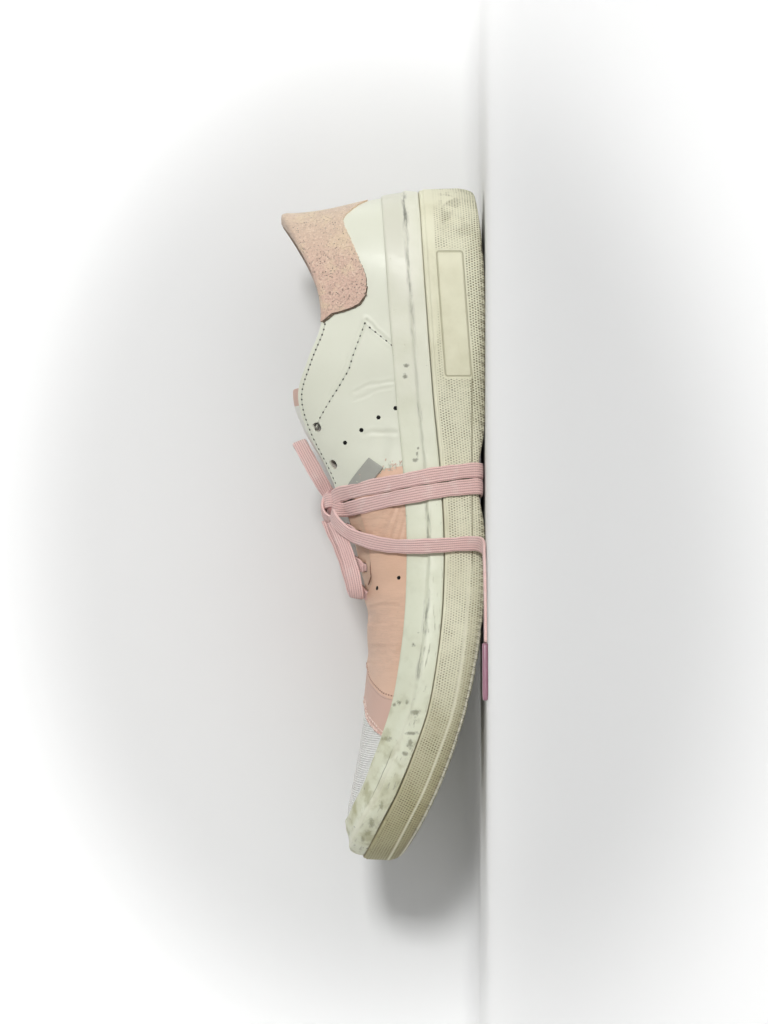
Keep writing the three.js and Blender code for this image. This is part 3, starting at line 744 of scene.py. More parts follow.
def make_rand_rubber():
    """Greenish white rubber with dark smudges along its bead and scuffs at the toe."""
    finish = Finish("rand rubber", Roughness=0.5, Specular_IOR_Level=0.4)
    _, up, _ = finish.axes(finish.cloth)
    over_bead = up - RAND_RIDGE
    from_heel = finish.from_heel()
    toe, fore = from_heel.between(185, 250), from_heel.between(120, 190)
    rubbed = sum(from_heel.between(a, a + 4) * from_heel.between(b, b - 4) * much for a, b, much in RUBBED)
    bead = over_bead.distance().between(1.7, 0)
    along_band = finish.stretched(finish.cloth, (0.12, 0.8, 1))
    streak = finish.noise(1000, 4, 0.6, at=along_band).between(0.42, 0.64)
    smudge = finish.noise(5.5, 4, 0.5).between(0.48, 0.72)
    olive = finish.noise(11, 4, 0.6).between(0.38, 0.62) * toe
    crest = (over_bead - 0.1).distance().between(1.9, 0.2) * toe
    crack = (over_bead - 1.9 + finish.noise(4, 2) * 0.8).distance().between(0.28, 0.08)
    crack = crack * from_heel.between(222, 227) * from_heel.between(246, 238)
    speck = finish.noise(2.1, 3, 0.55).between(0.685, 0.73)
    speckled = finish.noise(21, 3).between(0.45, 0.60)
    slant = finish.stretched(finish.cloth, (0.14, 1.1, 1), 0.9)
    scratch = finish.noise(1000, 3, 0.6, at=slant).between(0.60, 0.68) * up.between(6, 4.5) * fore
    colour = finish.coat(
        finish.blend(from_heel.between(40, 150), (0.745, 0.74, 0.63), (0.69, 0.715, 0.57)),
        (finish.noise(14, 4).between(0.35, 0.75) * 0.5, (0.62, 0.63, 0.48)),
        # Paler toward the toe: painted light.
        (toe * 0.8, (0.78, 0.80, 0.65)),
        # Painted shade on the band over the bead at the heel, toning down its lit face.
        (over_bead.between(0, 2.5) * from_heel.between(55, 15) * 0.8, (0.64, 0.635, 0.535)),
        (bead * streak * (rubbed + 0.1).least(0.85), (0.155, 0.155, 0.13)),
        (blots_on(finish, *finish.seen(), RAND_BLOTS) * 0.7, (0.13, 0.13, 0.09)),
        ((smudge * (toe * 0.45 + fore * 0.15)).least(0.7), (0.33, 0.325, 0.21)),
        ((olive * 0.35 + over_bead.between(1.6, 5) * toe * 0.32).least(0.8), (0.47, 0.46, 0.255)),
        (up.between(5.2, 2) * toe * 0.28, (0.42, 0.395, 0.25)),
        (crest * 0.6, (0.77, 0.76, 0.60)),
        (crack * 0.7, (0.22, 0.21, 0.13)),
        (speck * (0.25 * speckled + toe * 0.4).least(0.85), (0.12, 0.115, 0.09)),
        (scratch * 0.5, (0.38, 0.37, 0.30)),
        (up.between(0.5, 0) * (0.15 + fore * 0.45), (0.27, 0.235, 0.13)),
    )
    dents = finish.noise(5, 3) * 0.5 - streak * bead * 0.5 - smudge * toe * 0.5 - scratch * 0.5 - speck * 0.3
    return finish.wear(colour, roughness=0.40 + smudge * 0.2 + olive * 0.15, height=dents, depth=0.3)


GRAINS_PER_METRE = 1800


def make_leather(name, light, dark, crease=1.0, rough=0.4):
    """Smooth coated leather: a faint grain, shallow wrinkles across the foot, and grime."""
    finish = Finish(name, Specular_IOR_Level=0.4)
    from_heel = finish.from_heel()
    wrinkle = finish.noise(3.4, 4, 0.6, at=finish.stretched(finish.places, (3.2, 0.35, 0.35)), warp=0.3)
    flexing = from_heel.between(150, 172) * from_heel.between(204, 186)
    pinch = from_heel.between(120, 134) * from_heel.between(160, 138)
    much = (flexing * 0.55 + pinch * 0.6 + 0.06).least(1) * crease
    fold = wrinkle.between(0.45, 0.49) * wrinkle.between(0.55, 0.51) * much
    cells = {"feature": "DISTANCE_TO_EDGE"}
    grain = finish.node("TexVoronoi", cells, {"Vector": finish.places, "Scale": GRAINS_PER_METRE})
    colour = finish.coat(
        finish.blend(finish.noise(26, 4), light, dark),
        (finish.noise(7, 6, 0.7).between(0.60, 0.85) * 0.16, (0.40, 0.37, 0.28)),
        # Painted shade in the wrinkles' folds.
        (fold * 0.2, tuple(0.5 * c for c in dark)),
    )
    height = wrinkle * much * 1.1 - fold * 0.4 + grain.between(0, 0.0002) * 0.04 + finish.noise(4.5, 3) * 0.25
    roughness = finish.noise(12, 4) * 0.2 + (rough - 0.08)
    return finish.wear(colour, roughness=roughness, height=height, depth=0.22)


def make_toe_cloth():
    """White cloth with fine ribs across the toe."""
    finish = Finish("ribbed toe cloth", Roughness=0.85, Sheen_Weight=0.2)
    x, y, z = finish.axes(finish.places)
    rib = ((x / (RIB_PITCH * MM)).fraction() - 0.5).distance()
    yarn = (((y + z) / (YARN_PITCH * MM)).fraction() - 0.5).distance()
    colour = finish.coat(
        finish.blend(finish.noise(20, 4), (0.94, 0.94, 0.90), (0.87, 0.87, 0.825)),
        # Painted shade in the grooves between the ribs.
        (rib.between(0.30, 0.46) * 0.2, (0.42, 0.42, 0.38)),
        (finish.noise(5, 5, 0.7).between(0.5, 0.75) * x.between(0.085, 0.12) * 0.45, (0.45, 0.43, 0.31)),
    )
    return finish.wear(colour, height=rib.between(0.5, 0.1) + yarn * 0.25, depth=0.3)


def make_suede():
    """Peach suede: rough nap, pale and dark specks, yellower and dirtier toward the back and the edges."""
    finish = Finish("peach suede", Roughness=0.96, Sheen_Weight=0.3, Sheen_Roughness=0.5)
    nap = finish.noise(0.8, 4, 0.8)
    dark = finish.noise(0.6, 2, 0.8).between(0.56, 0.66)
    cells = finish.node("TexVoronoi", {}, {"Vector": finish.places, "Scale": 1 / (1.15 * MM)})
    lower = finish.noise(7, 3).between(0.35, 0.6)
    pits = (cells + finish.noise(1.7, 1) * 0.3).between(0.42, 0.27) * (lower * 0.75 + 0.25)
    colour = finish.coat(
        finish.blend(finish.from_heel().between(8, 42), (0.69, 0.53, 0.395), (0.70, 0.48, 0.385)),
        (finish.noise(9, 4, 0.6).between(0.48, 0.66) * 0.45, (0.80, 0.66, 0.44)),
        (nap.between(0.50, 0.64) * 0.6, (0.87, 0.72, 0.58)),
        (dark * 0.4, (0.42, 0.28, 0.22)),
        (pits * 0.8, (0.15, 0.10, 0.08)),
    )
    return finish.wear(colour, height=nap - dark * 0.6 - pits * 0.8, depth=0.35)


def make_cut_edge():
    """The suede's cut edge: dark along its front, its own colour and painted shade under the overlapping
    edge, tan at the tail.
    """
    finish = Finish("cut suede edge", Roughness=0.97)
    colour = finish.blend(finish.from_heel().between(20, 34), (0.66, 0.49, 0.34), (0.13, 0.10, 0.07))
    colour = finish.blend(finish.noise(0.9, 3).between(0.5, 0.7) * 0.5, colour, (0.40, 0.31, 0.22))
    return finish.wear(colour, height=finish.noise(0.8, 3), depth=0.3)


def make_lining():
    """Towelling lining, greyed by wear."""
    finish = Finish("lining cloth", Roughness=0.97, Sheen_Weight=0.3)
    loops = finish.node("TexVoronoi", {}, {"Vector": finish.places, "Scale": 1 / (1.1 * MM)})
    base = finish.blend(finish.noise(18, 4), (0.56, 0.52, 0.46), (0.42, 0.38, 0.32))
    colour = finish.blend(loops * 0.9, base, (0.26, 0.23, 0.20))
    return finish.wear(colour, height=loops * -1 + finish.noise(0.6, 2) * 0.3, depth=0.4)


def make_lace_cotton():
    """Flat woven cotton: fine cords lengthwise, stitches slanting across them."""
    finish = Finish("lace cotton", Roughness=0.92, Sheen_Weight=0.3, Sheen_Roughness=0.6)
    run, across, _ = finish.axes(finish.cloth)
    cord = (across / 0.95).fraction() - 0.5
    slant = ((run + cord.distance() * 1.1) / 0.8).fraction() - 0.5
    valley = cord.distance().between(0.34, 0.5)
    knit = slant.distance().between(0.34, 0.48)
    colour = finish.coat(
        finish.blend(finish.noise(14, 3), (0.93, 0.655, 0.61), (0.85, 0.55, 0.515)),
        (finish.noise(5, 4).between(0.5, 0.75) * 0.45, (0.96, 0.78, 0.725)),
        # Painted shade in the valleys between the cords and the stitches.
        ((valley * 0.8 + knit * 0.25).least(0.8), (0.40, 0.16, 0.15)),
    )
    return finish.wear(colour, height=valley * -1 - knit * 0.5, depth=0.25)


def make_edge_trim():
    finish = Finish("pale cut edge", Roughness=0.85)
    colour = finish.blend(finish.noise(1.1, 4).between(0.4, 0.62), (0.86, 0.72, 0.64), (0.62, 0.36, 0.30))
    return finish.wear(colour, height=finish.noise(0.9, 3), depth=0.25)


def make_plain(name, colour, rough, mottle=0.85, grain=1.2, depth=0.08, **shader):
    finish = Finish(name, Roughness=rough, **shader)
    mottled = finish.blend(finish.noise(9, 4), colour, tuple(c * mottle for c in colour))
    return finish.wear(mottled, height=finish.noise(grain, 3), depth=depth)


SOLE_RUBBER = make_sole_rubber()
RAND_RUBBER = make_rand_rubber()
WHITE_LEATHER = make_leather("white leather", (0.745, 0.755, 0.645), (0.68, 0.69, 0.57), 0.3, 0.36)
PINK_LEATHER = make_leather("pink leather", (0.765, 0.53, 0.40), (0.68, 0.43, 0.295), 1.0, 0.42)
STRIP_LEATHER = make_leather("deep pink leather", (0.66, 0.45, 0.365), (0.60, 0.385, 0.31), 0.5, 0.45)
TAN_LEATHER = make_leather("tan facing leather", (0.70, 0.52, 0.39), (0.60, 0.43, 0.31), 0.6, 0.5)
CUT_EDGE = make_cut_edge()
TOE_CLOTH = make_toe_cloth()
LINING = make_lining()
SUEDE = make_suede()
LACE_COTTON = make_lace_cotton()
AGLET_FILM = make_plain("aglet film", (0.42, 0.20, 0.27), 0.22, 0.6, 4, 0.05, Coat_Weight=0.5)
TONGUE_LEATHER = make_leather("tongue leather", (0.80, 0.80, 0.73), (0.72, 0.72, 0.65), 0.4, 0.5)
PALE_EDGE = make_edge_trim()
THREAD = make_plain("sewing thread", (0.66, 0.68, 0.58), 0.8, 0.8, 0.5, 0.1)
PINK_THREAD = make_plain("pink thread", (0.70, 0.45, 0.36), 0.8, 0.8, 0.5, 0.1)
SEAM_SHADE = make_plain("seam shade", (0.34, 0.20, 0.15), 0.9)
NEEDLE_HOLE = make_plain("needle holes", (0.085, 0.085, 0.07), 0.9)
VENT_DARK = make_plain("vent holes", (0.012, 0.012, 0.012), 0.95)
GREY_TAPE = make_plain("grey satin tape", (0.40, 0.40, 0.355), 0.5, 0.75, 0.6, 0.1)


# ------------------------------------------------------------------ places on the upper
def spot(side, x, z):
    """The signed share and distance up where the upper shows a point x along and z up, seen from its side."""
    points, _, girth, _ = LAST[side]
    nearer = DISTANCE / (DISTANCE - np.abs(points[..., 1]))
    middle = VIEW_X - ORIGIN[0]
    seen_x = middle + (points[..., 0] - middle) * nearer
    seen_z = VIEW_Z + (points[..., 2] - VIEW_Z) * nearer
    away = (seen_x - x) ** 2 + (seen_z - z) ** 2
    i, j = np.unravel_index(away.argmin(), away.shape)
    share = i / SECTIONS
    return (share if side == INNER else -share), j / RISES * girth[i]


RIDGE_NEAR = 0.93  # share of the girth from which on a line counts as reaching the vamp's ridge


def spots(side, stops):
    """The places of stops (x, z). A line that reaches the vamp's ridge curves so as to cross it squarely."""
    found = [spot(side, x, z) for x, z in stops]
    (u, up), (last_u, last_up) = found[-2:]
    if abs(last_u) < THROAT_END or last_up < RIDGE_NEAR * girth_at(last_u):
        return np.array(found)
    rise, end_x, ridge_x = up / girth_at(u), skin(u, up)[0], skin(last_u, last_up)[0]
    share = np.linspace(0, 1, SECTIONS + 1)
    found.pop()
    for t in (0.25, 0.5, 0.75, 1):
        row = rise + (1 - rise) * t
        x_there = LAST[side][0][:, int(row * RISES), 0]
        fore = share > 0.6
        at = side * np.interp(ridge_x + (end_x - ridge_x) * (1 - t) ** 2, x_there[fore], share[fore])
        found.append((at, row * girth_at(at)))
    return np.array(found, float)


def line_on_upper(side, stops, spacing, out):
    """Points about spacing millimetres apart along a line through stops, each (x, z), and the normals."""
    rough = spots(side, stops)
    t = np.linspace(0, len(rough) - 1, 40 * len(rough))
    u = np.interp(t, range(len(rough)), rough[:, 0])
    up = np.interp(t, range(len(rough)), rough[:, 1])
    return even_points(u, up, spacing, out)


def even_points(u, up, spacing, out):
    lengths = lengths_along(skin(u, up, out))
    count = max(2, int(lengths[-1] / spacing) + 1)
    even = np.linspace(0, lengths[-1], count)
    u, up = np.interp(even, lengths, u), np.interp(even, lengths, up)
    line = skin(u, up, out)
    return line, skin(u, up, out + 1) - line


# ------------------------------------------------------------------ small repeated pieces
def add_seeds(mesh, line, normals, size):
    """Adds one flat bead on each point of a line, size being its length, width and height."""
    heading = np.gradient(line, axis=0)
    for at, ahead, normal in zip(line, heading, normals):
        ahead, normal = Vector(ahead).normalized(), Vector(normal).normalized()
        across = normal.cross(ahead).normalized()
        turn = Matrix((ahead, across, across.cross(ahead) * -1)).transposed()
        made = bmesh.ops.create_uvsphere(mesh, u_segments=6, v_segments=4, radius=0.5)
        stretch = turn @ Matrix.Diagonal(Vector(size) * MM)
        for vert in made["verts"]:
            vert.co = stretch @ vert.co + Vector(to_frame(at))


STITCH_SHARE, HOLE_SHARE = 0.7, 0.45  # of the pitch


def sew(name, lines, thread, pitch, hole=NEEDLE_HOLE):
    """Stitches along lines on the upper, and the holes between them."""
    threads, holes = bmesh.new(), bmesh.new()
    for line, normals in lines:
        middle = (line[1:] + line[:-1]) / 2
        add_seeds(threads, middle, (normals[1:] + normals[:-1]) / 2, (pitch * STITCH_SHARE, 0.6, 0.5))
        add_seeds(holes, line, normals, (pitch * HOLE_SHARE, 0.75, 0.3))
    finish_piece(name, threads, thread)
    finish_piece(f"{name}_holes", holes, hole)


# ------------------------------------------------------------------ the sole
def edge_run(u):
    """Millimetres along the sole's edge from the back of the heel."""
    u = np.asarray(u, float)
    return np.where(u >= 0, u * TOE_TURN, u * (1 - TOE_TURN)) * EDGE_GIRTH


SOLE_STOPS = np.array((0, 0.14, 0.17, 0.185, 0.20, 0.225, 0.25, 0.74, 0.765, 0.79, 0.81, 0.83, 0.86, 0.90, 1))
SOLE_INSETS = (2.8, 2.8, 1.7, 1.05, 0.55, 0.15, 0, 0.45, 0.85, 0.9, 1.3, 2.2, CUP_WALL, CUP_WALL, CUP_WALL)
SOLE_RISES = (0, 0, 0.02, 0.07, 0.14, 0.235, 0.28, 0.915, 0.93, 0.975, 0.995, 1, 0.99, 0, 0)
SOLE_RIM, SOLE_FLOOR = 0.83, 0.90
SOLE_GRID = 700, 90
PANEL_SLOPE, PANEL_DEPTH = 0.6, 0.35
NICK_PITCH, NICK_DEPTH = 9.6, 0.7


def within(low, high, value):
    """1 from low to high, with a slope at both ends."""
    past_low = step(low - PANEL_SLOPE, low + PANEL_SLOPE, value)
    return past_low * step(high + PANEL_SLOPE, high - PANEL_SLOPE, value)


def sole_surface(a, b):
    """From the tread's middle out, up the wall, over the rim and back over the cup's floor."""
    u = 2 * a - 1
    run = edge_run(u)
    rim = rim_height(edge_point(u, 0)[0][:, 0])
    rise = np.interp(b, SOLE_STOPS, SOLE_RISES)
    inset = np.interp(b, SOLE_STOPS, SOLE_INSETS)
    side, _ = edge_point(u, 0)
    under_side = tread_height(side[:, 0])
    down = (1 - rise) * (rim - under_side)
    outside = (b > 0.2) & (b < 0.8)
    panel = within(PANEL_START, PANEL_END, side[:, 0]) * within(PANEL_TOP, PANEL_BOTTOM, down) * (u > 0)
    nick = bump(NICK_PITCH / 2, 0.5, run % NICK_PITCH) * step(150, 175, side[:, 0]) * step(2.2, 0.6, down)
    inset = inset + np.where(outside, PANEL_DEPTH * panel + NICK_DEPTH * nick, 0)
    side, _ = edge_point(u, inset)
    inward = np.clip(np.minimum(b / SOLE_STOPS[1], (1 - b) / (1 - SOLE_FLOOR)), 0, 1)
    flat = spine_point(u) * (1 - inward[:, None]) + side * inward[:, None]
    under, floor = tread_height(flat[:, 0]), cup_floor(flat[:, 0])
    base = np.where(b > SOLE_RIM, floor, under)
    z = base + (rim - base) * rise
    grooves = sum(step(GROOVE_EDGE, GROOVE_FLOOR, np.abs(flat[:, 0] - x)) for x in GROOVE_PLACES)
    z = z + np.where(b < 0.17, GROOVE_DEPTH * grooves * step(0.17, 0.15, b), 0)
    return np.column_stack([flat, z]), np.stack([run, down], -1)


def make_sole():
    finish_piece("sole_body", sheet_mesh(*SOLE_GRID, sole_surface), SOLE_RUBBER, ("cup_sole",))


# ------------------------------------------------------------------ the upper
INSIDE_SHARE = 0.1
SHELL_GRID = 470, 64
FACING_START, CLOTH_START, CLOTH_LEAN, CLOTH_LEVEL = 112, 203, 1.3, 48
QUARTER_OUT, VAMP_OUT, STRIP_OUT = 0.95, 0.9, 0.62
QUARTER_FRONT = ((112, 32), (113.4, 40.5), (118, 49), (125.5, 57.5))
VAMP_BACK = ((109, 31), (110.5, 40.5), (113.5, 48), (116, 51))
VAMP_FRONT = ((205.9, 35.5), (204.6, 40), (201.4, 43.2), (197.8, 45.6), (192.5, 46.6))
STRIP_BACK = ((199, 36), (188, 45.5))
# A dark line along the vamp panel's top edge: a painted shadow on the facing.
FACING_SHADOW_LINE = ((126.5, 47.6), (133, 46.6), (141, 45.6), (149, 44.8), (156.5, 44.8), (159.5, 46.2))
STRIP_FRONT = ((221.5, 39.5), (220, 41.4), (217.5, 43.8), (213.1, 46.6), (207, 48.4))


def upper_surface(a, b):
    u = 2 * a - 1
    girth = girth_at(u)
    above = (b - INSIDE_SHARE) / (1 - INSIDE_SHARE)
    up = np.where(b < INSIDE_SHARE, b / INSIDE_SHARE - 1, above) * girth
    return skin(u, up), np.stack([edge_run(u), up], -1)


def make_upper():
    """The lining and the parts below the panels: the facing over the throat, and the toe's cloth."""
    mesh = sheet_mesh(*SHELL_GRID, upper_surface)
    cut_eyelets(mesh, 0)
    layers = [TAN_LEATHER, LINING, TOE_CLOTH, LINING, WHITE_LEATHER, LINING]
    piece = finish_piece("upper_shell", mesh, layers, ("upper",))
    for polygon in piece.data.polygons:
        x, z = polygon.center.x / MM - ORIGIN[0], polygon.center.z / MM
        cloth_start = CLOTH_START + CLOTH_LEAN * (CLOTH_LEVEL - z)
        polygon.material_index = 4 if x < FACING_START else 0 if x < cloth_start else 2
    thicken(piece, UPPER_WALL, inner=1, rim=1)


def cut_eyelets(mesh, out):
    """Punches a round hole at each eyelet: takes out the faces there and moves the edge onto a circle."""
    for side in (INNER, OUTER):
        for share in EYELET_PLACES:
            u = np.array([side * share])
            up = girth_at(u) - EYELET_BELOW
            middle = Vector(to_frame(skin(u, up, out))[0])
            normal = (Vector(to_frame(skin(u, up, out + 1))[0]) - middle).normalized()
            reach = (EYELET_RADIUS - 0.3) * MM
            near = [f for f in mesh.faces if (f.calc_center_median() - middle).length < reach]
            edge = {v for f in near for v in f.verts if any(g not in near for g in v.link_faces)}
            for vert in edge:
                away = vert.co - middle
                flat = away - normal * away.dot(normal)
                vert.co += flat.normalized() * EYELET_RADIUS * MM - flat
            bmesh.ops.delete(mesh, geom=near, context="FACES")


def border(side, stops, low, high):
    """A panel's edge through stops (x, z): the share by how far it is from the panel's foot to its top."""
    shares, ups = spots(side, stops).T
    rises = (ups - low(shares)) / (high(shares) - low(shares))
    order = np.argsort(rises)
    return along(*zip(rises[order], np.abs(shares[order])))


def side_panel(side, back, front, low, high, out, columns, rows, eyelets=False):
    """A patch of the upper from its back edge to its front edge, and from low to high above the rim."""

    def place(a, b):
        u = side * (back(b) * (1 - a) + front(b) * a)
        up = low(u) * (1 - b) + high(u) * b
        return skin(u, up, out), np.stack([edge_run(u), up], -1)

    patch = sheet_mesh(columns, rows, place, merge=0)
    if eyelets:
        cut_eyelets(patch, out)
    return patch


def both_sides(name, material, out, back, front, low, high, columns, rows, eyelets=False, rim=0):
    """One panel on each side, joined where they meet, with a real thickness."""
    whole = new_mesh()
    for side in (INNER, OUTER):
        edges = [edge if callable(edge) else border(side, edge, low, high) for edge in (back, front)]
        move_into(whole, side_panel(side, *edges, low, high, out, columns, rows, eyelets))
    bmesh.ops.remove_doubles(whole, verts=whole.verts, dist=0.05 * MM)
    piece = finish_piece(name, whole, material)
    thicken(piece, out - 0.05, rim=rim)
    soft_edge(piece, 0.22)


def under_rand(u):
    return np.full_like(np.asarray(u, float), RAND_HEIGHT - 2)


facing_width = along((0.45, 10), (0.51, 11.6), (0.55, 12.6), (0.588, 12.2), (0.61, 7), (0.63, 0))


def throat_gap(u):
    """How far up the vamp panel goes: short of the throat by the facing, and closed over the vamp."""
    return girth_at(u) - facing_width(np.abs(u))


PIPING_SPACING, PIPING_SIDES = 0.7, 12
PIPING_WIDE, PIPING_HIGH = 1.5, 0.8


def add_piping(name, material, stops, radius, out):
    """A raised rounded edge along a line on both sides of the upper."""
    whole = new_mesh()
    for side in (INNER, OUTER):
        line, normals = line_on_upper(side, stops, PIPING_SPACING, out)
        across = unit(np.cross(np.gradient(line, axis=0), normals))
        step_at = np.arange(len(line))
        uneven = radius * (1 + 0.12 * np.sin(step_at * 1.9) + 0.1 * np.sin(step_at * 0.7))
        uneven *= np.minimum(1, 0.2 + step_at / 9)

        def place(a, b):
            i = np.rint(a * (len(line) - 1)).astype(int)
            turn = (2 * math.pi * b)[:, None]
            round_it = across[i] * np.cos(turn) * PIPING_WIDE + normals[i] * np.sin(turn) * PIPING_HIGH
            return line[i] + round_it * uneven[i][:, None], np.stack([a * 40, b * 4], -1)

        patch = sheet_mesh(len(line) - 1, PIPING_SIDES, place)
        bmesh.ops.recalc_face_normals(patch, faces=patch.faces)
        move_into(whole, patch)
    finish_piece(name, whole, material)


def heel_line(rise):
    """The middle of the heel, as a panel's back edge."""
    return rise * 0


def make_panels():
    both_sides(
        "quarter_panel", WHITE_LEATHER, QUARTER_OUT, heel_line, QUARTER_FRONT, under_rand, girth_at, 210, 60,
        eyelets=True)
    both_sides("vamp_panel", PINK_LEATHER, VAMP_OUT, VAMP_BACK, VAMP_FRONT, under_rand, throat_gap, 150, 56)
    both_sides(
        "toe_strip", [STRIP_LEATHER, PALE_EDGE], STRIP_OUT, STRIP_BACK, STRIP_FRONT, under_rand, girth_at,
        30, 44, rim=1)
    add_piping("strip_edge", PALE_EDGE, [(x - 0.4, z) for x, z in STRIP_FRONT], 0.4, STRIP_OUT - 0.05)
    add_piping("strip_fold", PALE_EDGE, [(x - 1.9, z - 0.3) for x, z in STRIP_FRONT], 0.3, STRIP_OUT - 0.05)
    add_piping("vamp_edge", STRIP_LEATHER, VAMP_FRONT, 0.42, VAMP_OUT - 0.25)
    # Painted shadow under the vamp panel's top edge.
    add_piping("facing_shadow_line", SEAM_SHADE, FACING_SHADOW_LINE, 0.2, 0.25)


# ------------------------------------------------------------------ the rand
RAND_SINK, TOE_SINK = 0.4, 1.1  # how far its foot closes the joint to the sole, and more at the tip
RAND_GRID = 560, 44
RAND_STOPS = (0, 0.03, 0.07, 0.11, 0.33, 0.37, 0.41, 0.45, 0.78, 0.82, 0.85, 0.88, 1)
RAND_UPS = (0, 0, 0.2, 0.6, 4.6, 5.1, 5.5, 6.1, 13.5, 14.1, 14.5, 14.4, 0)
RAND_OUTS = (GAP, 1.8, 2.15, 2.3, 2.75, 2.72, 2.4, 2.05, 1.85, 1.7, 1.3, GAP, GAP)


def rand_surface(a, b):
    """The band's section as a closed loop: up its outer face, over its top edge and down behind."""
    u = 2 * a - 1
    up = np.minimum(np.interp(b, RAND_STOPS, RAND_UPS), 0.9 * girth_at(u))
    run = edge_run(u)
    ripple = 0.12 * np.sin(run / 7) * np.sin(run / 23) + 0.08 * np.sin(run / 3.1 + 1)
    out = np.interp(b, RAND_STOPS, RAND_OUTS) + np.where((b > 0.07) & (b < 0.84), ripple, 0)
    x = edge_point(u, 0)[0][:, 0]
    out = out + 1.1 * bump(RAND_RIDGE, 1.7, up) * (b > 0.07) * (b < 0.85) * step(200, 245, x)
    out = out - np.where((b > 0.41) & (b < 0.88), 0.9 * step(0.9, 0.98, np.abs(u)) * step(9, 13, up), 0)
    points = skin(u, up, out, relief=False)
    points[:, 2] -= (RAND_SINK + TOE_SINK * step(0.86, 0.97, np.abs(u))) * step(1.8, 0.1, up)
    return points, np.stack([run, up], -1)


def make_rand():
    finish_piece("rand_band", sheet_mesh(*RAND_GRID, rand_surface), RAND_RUBBER, ("rand",))


# ------------------------------------------------------------------ the heel tab
TAB_FRONT = ((43, 47.2), (46.2, 49.3), (48, 52), (49.6, 56.5), (50.6, 60.6), (53.6, 64.6))
TAB_LOW = (  # the lower edge, from the tip of its tail at the back of the heel
    (6.2, 46.6), (9, 51.8), (11.9, 55.2), (13.8, 56.1), (16.4, 55.2), (23.2, 52), (29.2, 49.3), (34.7, 46.9),
    (39.6, 46.4), (43, 47.2),
)
TAB_LOW_SHARES = [spot(INNER, x, z)[0] for x, z in TAB_LOW]


def lower_tab_edge(u):
    rises = np.linspace(0, 1, 80)
    points = skin(np.full(80, u), rises * girth_at(u), relief=False)
    low = np.interp(abs(u), TAB_LOW_SHARES, [z for _, z in TAB_LOW])
    return np.interp(low, points[:, 2], rises * girth_at(u))


TAB_FOLD = (0, 0.80, 0.84, 0.88, 0.93, 1)  # the suede goes up the face, over the edge and down inside
TAB_FRONT_AT = (0, 0.14, 0.3, 0.55, 0.78, 1)  # how far up its face each stop of its front is
TAB_GRID = 190, 60


def tab_surface(a, b):
    away = 2 * a - 1
    foot_share = spot(INNER, *TAB_FRONT[0])[0]
    low = np.array([lower_tab_edge(x) for x in away * foot_share])
    front = np.array([spot(INNER, x, z)[0] for x, z in TAB_FRONT])
    t = np.clip(b / TAB_FOLD[2], 0, 1)
    u = away * np.interp(t, TAB_FRONT_AT, front)
    girth = girth_at(u)
    fray = 0.22 * np.sin(away * 160) * np.sin(away * 71 + 1) + 0.12 * np.sin(away * 331)
    fray = fray * (1 - t) ** 4
    thick = GAP + TAB_THICKNESS + QUARTER_OUT * step(0.14, 0.2, np.abs(u))
    out = np.interp(b, TAB_FOLD, (1, 0.9, 0.55, 0, 0, 0)) * thick
    out = out - np.interp(b, TAB_FOLD, (0, 0, 0, 0.2, 1, 1)) * (UPPER_WALL + GAP + TAB_THICKNESS)
    over = np.interp(b, TAB_FOLD, (0, 0, 0.35, 0.6, 0.3, 0))
    inside = np.interp(b, TAB_FOLD, (0, 0, 0, 0, 0, 5))
    up = (low + fray) * (1 - t) + girth * t - inside
    points = skin(u, up, out, relief=False)
    points[:, 2] += over
    return points, np.stack([edge_run(u), up], -1)


def make_tab():
    mesh = sheet_mesh(*TAB_GRID, tab_surface)
    piece = finish_piece("heel_suede", mesh, [SUEDE, CUT_EDGE], ("heel_tab",))
    thicken(piece, TAB_THICKNESS, rim=1)
    soft_edge(piece, 0.25)
    # The dark cut edge along the suede's lower front, partly painted shade under its edge.
    add_piping("suede_cut", CUT_EDGE, TAB_LOW[8:-1] + TAB_FRONT, 0.42, GAP + QUARTER_OUT + 0.1)


# ------------------------------------------------------------------ tongue and insole
def tongue_surface(a, b):
    share = TONGUE_START + (TONGUE_END - TONGUE_START) * a
    across = 2 * b - 1
    half = half_opening(share)
    under = -UPPER_WALL - 0.55
    side = np.where(across >= 0, 1, -1)
    reach = np.abs(across) * (half + 9)
    flank = skin(side * share, girth_at(side * share) - 1.5, under, relief=False)
    middle = crown(share, tongue_lift(share))
    t = np.clip(reach / np.maximum(half, 0.01), 0, 1)[:, None]
    mid = middle * (1 - t) + flank * t
    mid[:, 2] = middle[:, 2] + (flank[:, 2] - middle[:, 2]) * t[:, 0] ** 2
    below = 1.5 + np.maximum(0, reach - half)
    beyond = skin(side * share, girth_at(side * share) - below, under, relief=False)
    points = np.where((reach < half)[:, None], mid, beyond)
    return points, np.stack([share * 300, across * 20], -1)


TONGUE_TRIM_END, TONGUE_FACE_END = 88, 119
TONGUE_GRID, INSOLE_GRID = (90, 40), (200, 40)


def make_tongue():
    materials = [TONGUE_LEATHER, LINING, STRIP_LEATHER, LINING, TAN_LEATHER, LINING]
    mesh = sheet_mesh(*TONGUE_GRID, tongue_surface)
    piece = finish_piece("tongue_pad", mesh, materials, ("tongue",))
    for polygon in piece.data.polygons:
        x = polygon.center.x / MM - ORIGIN[0]
        # Past TONGUE_FACE_END the tongue is tan as painted shade under the knot.
        polygon.material_index = 2 if x < TONGUE_TRIM_END else 0 if x < TONGUE_FACE_END else 4
    thicken(piece, TONGUE_THICKNESS, inner=1)
    rounding = piece.modifiers.new("Rounding", "SUBSURF")
    rounding.levels = rounding.render_levels = 1
    rounding.boundary_smooth = "PRESERVE_CORNERS"


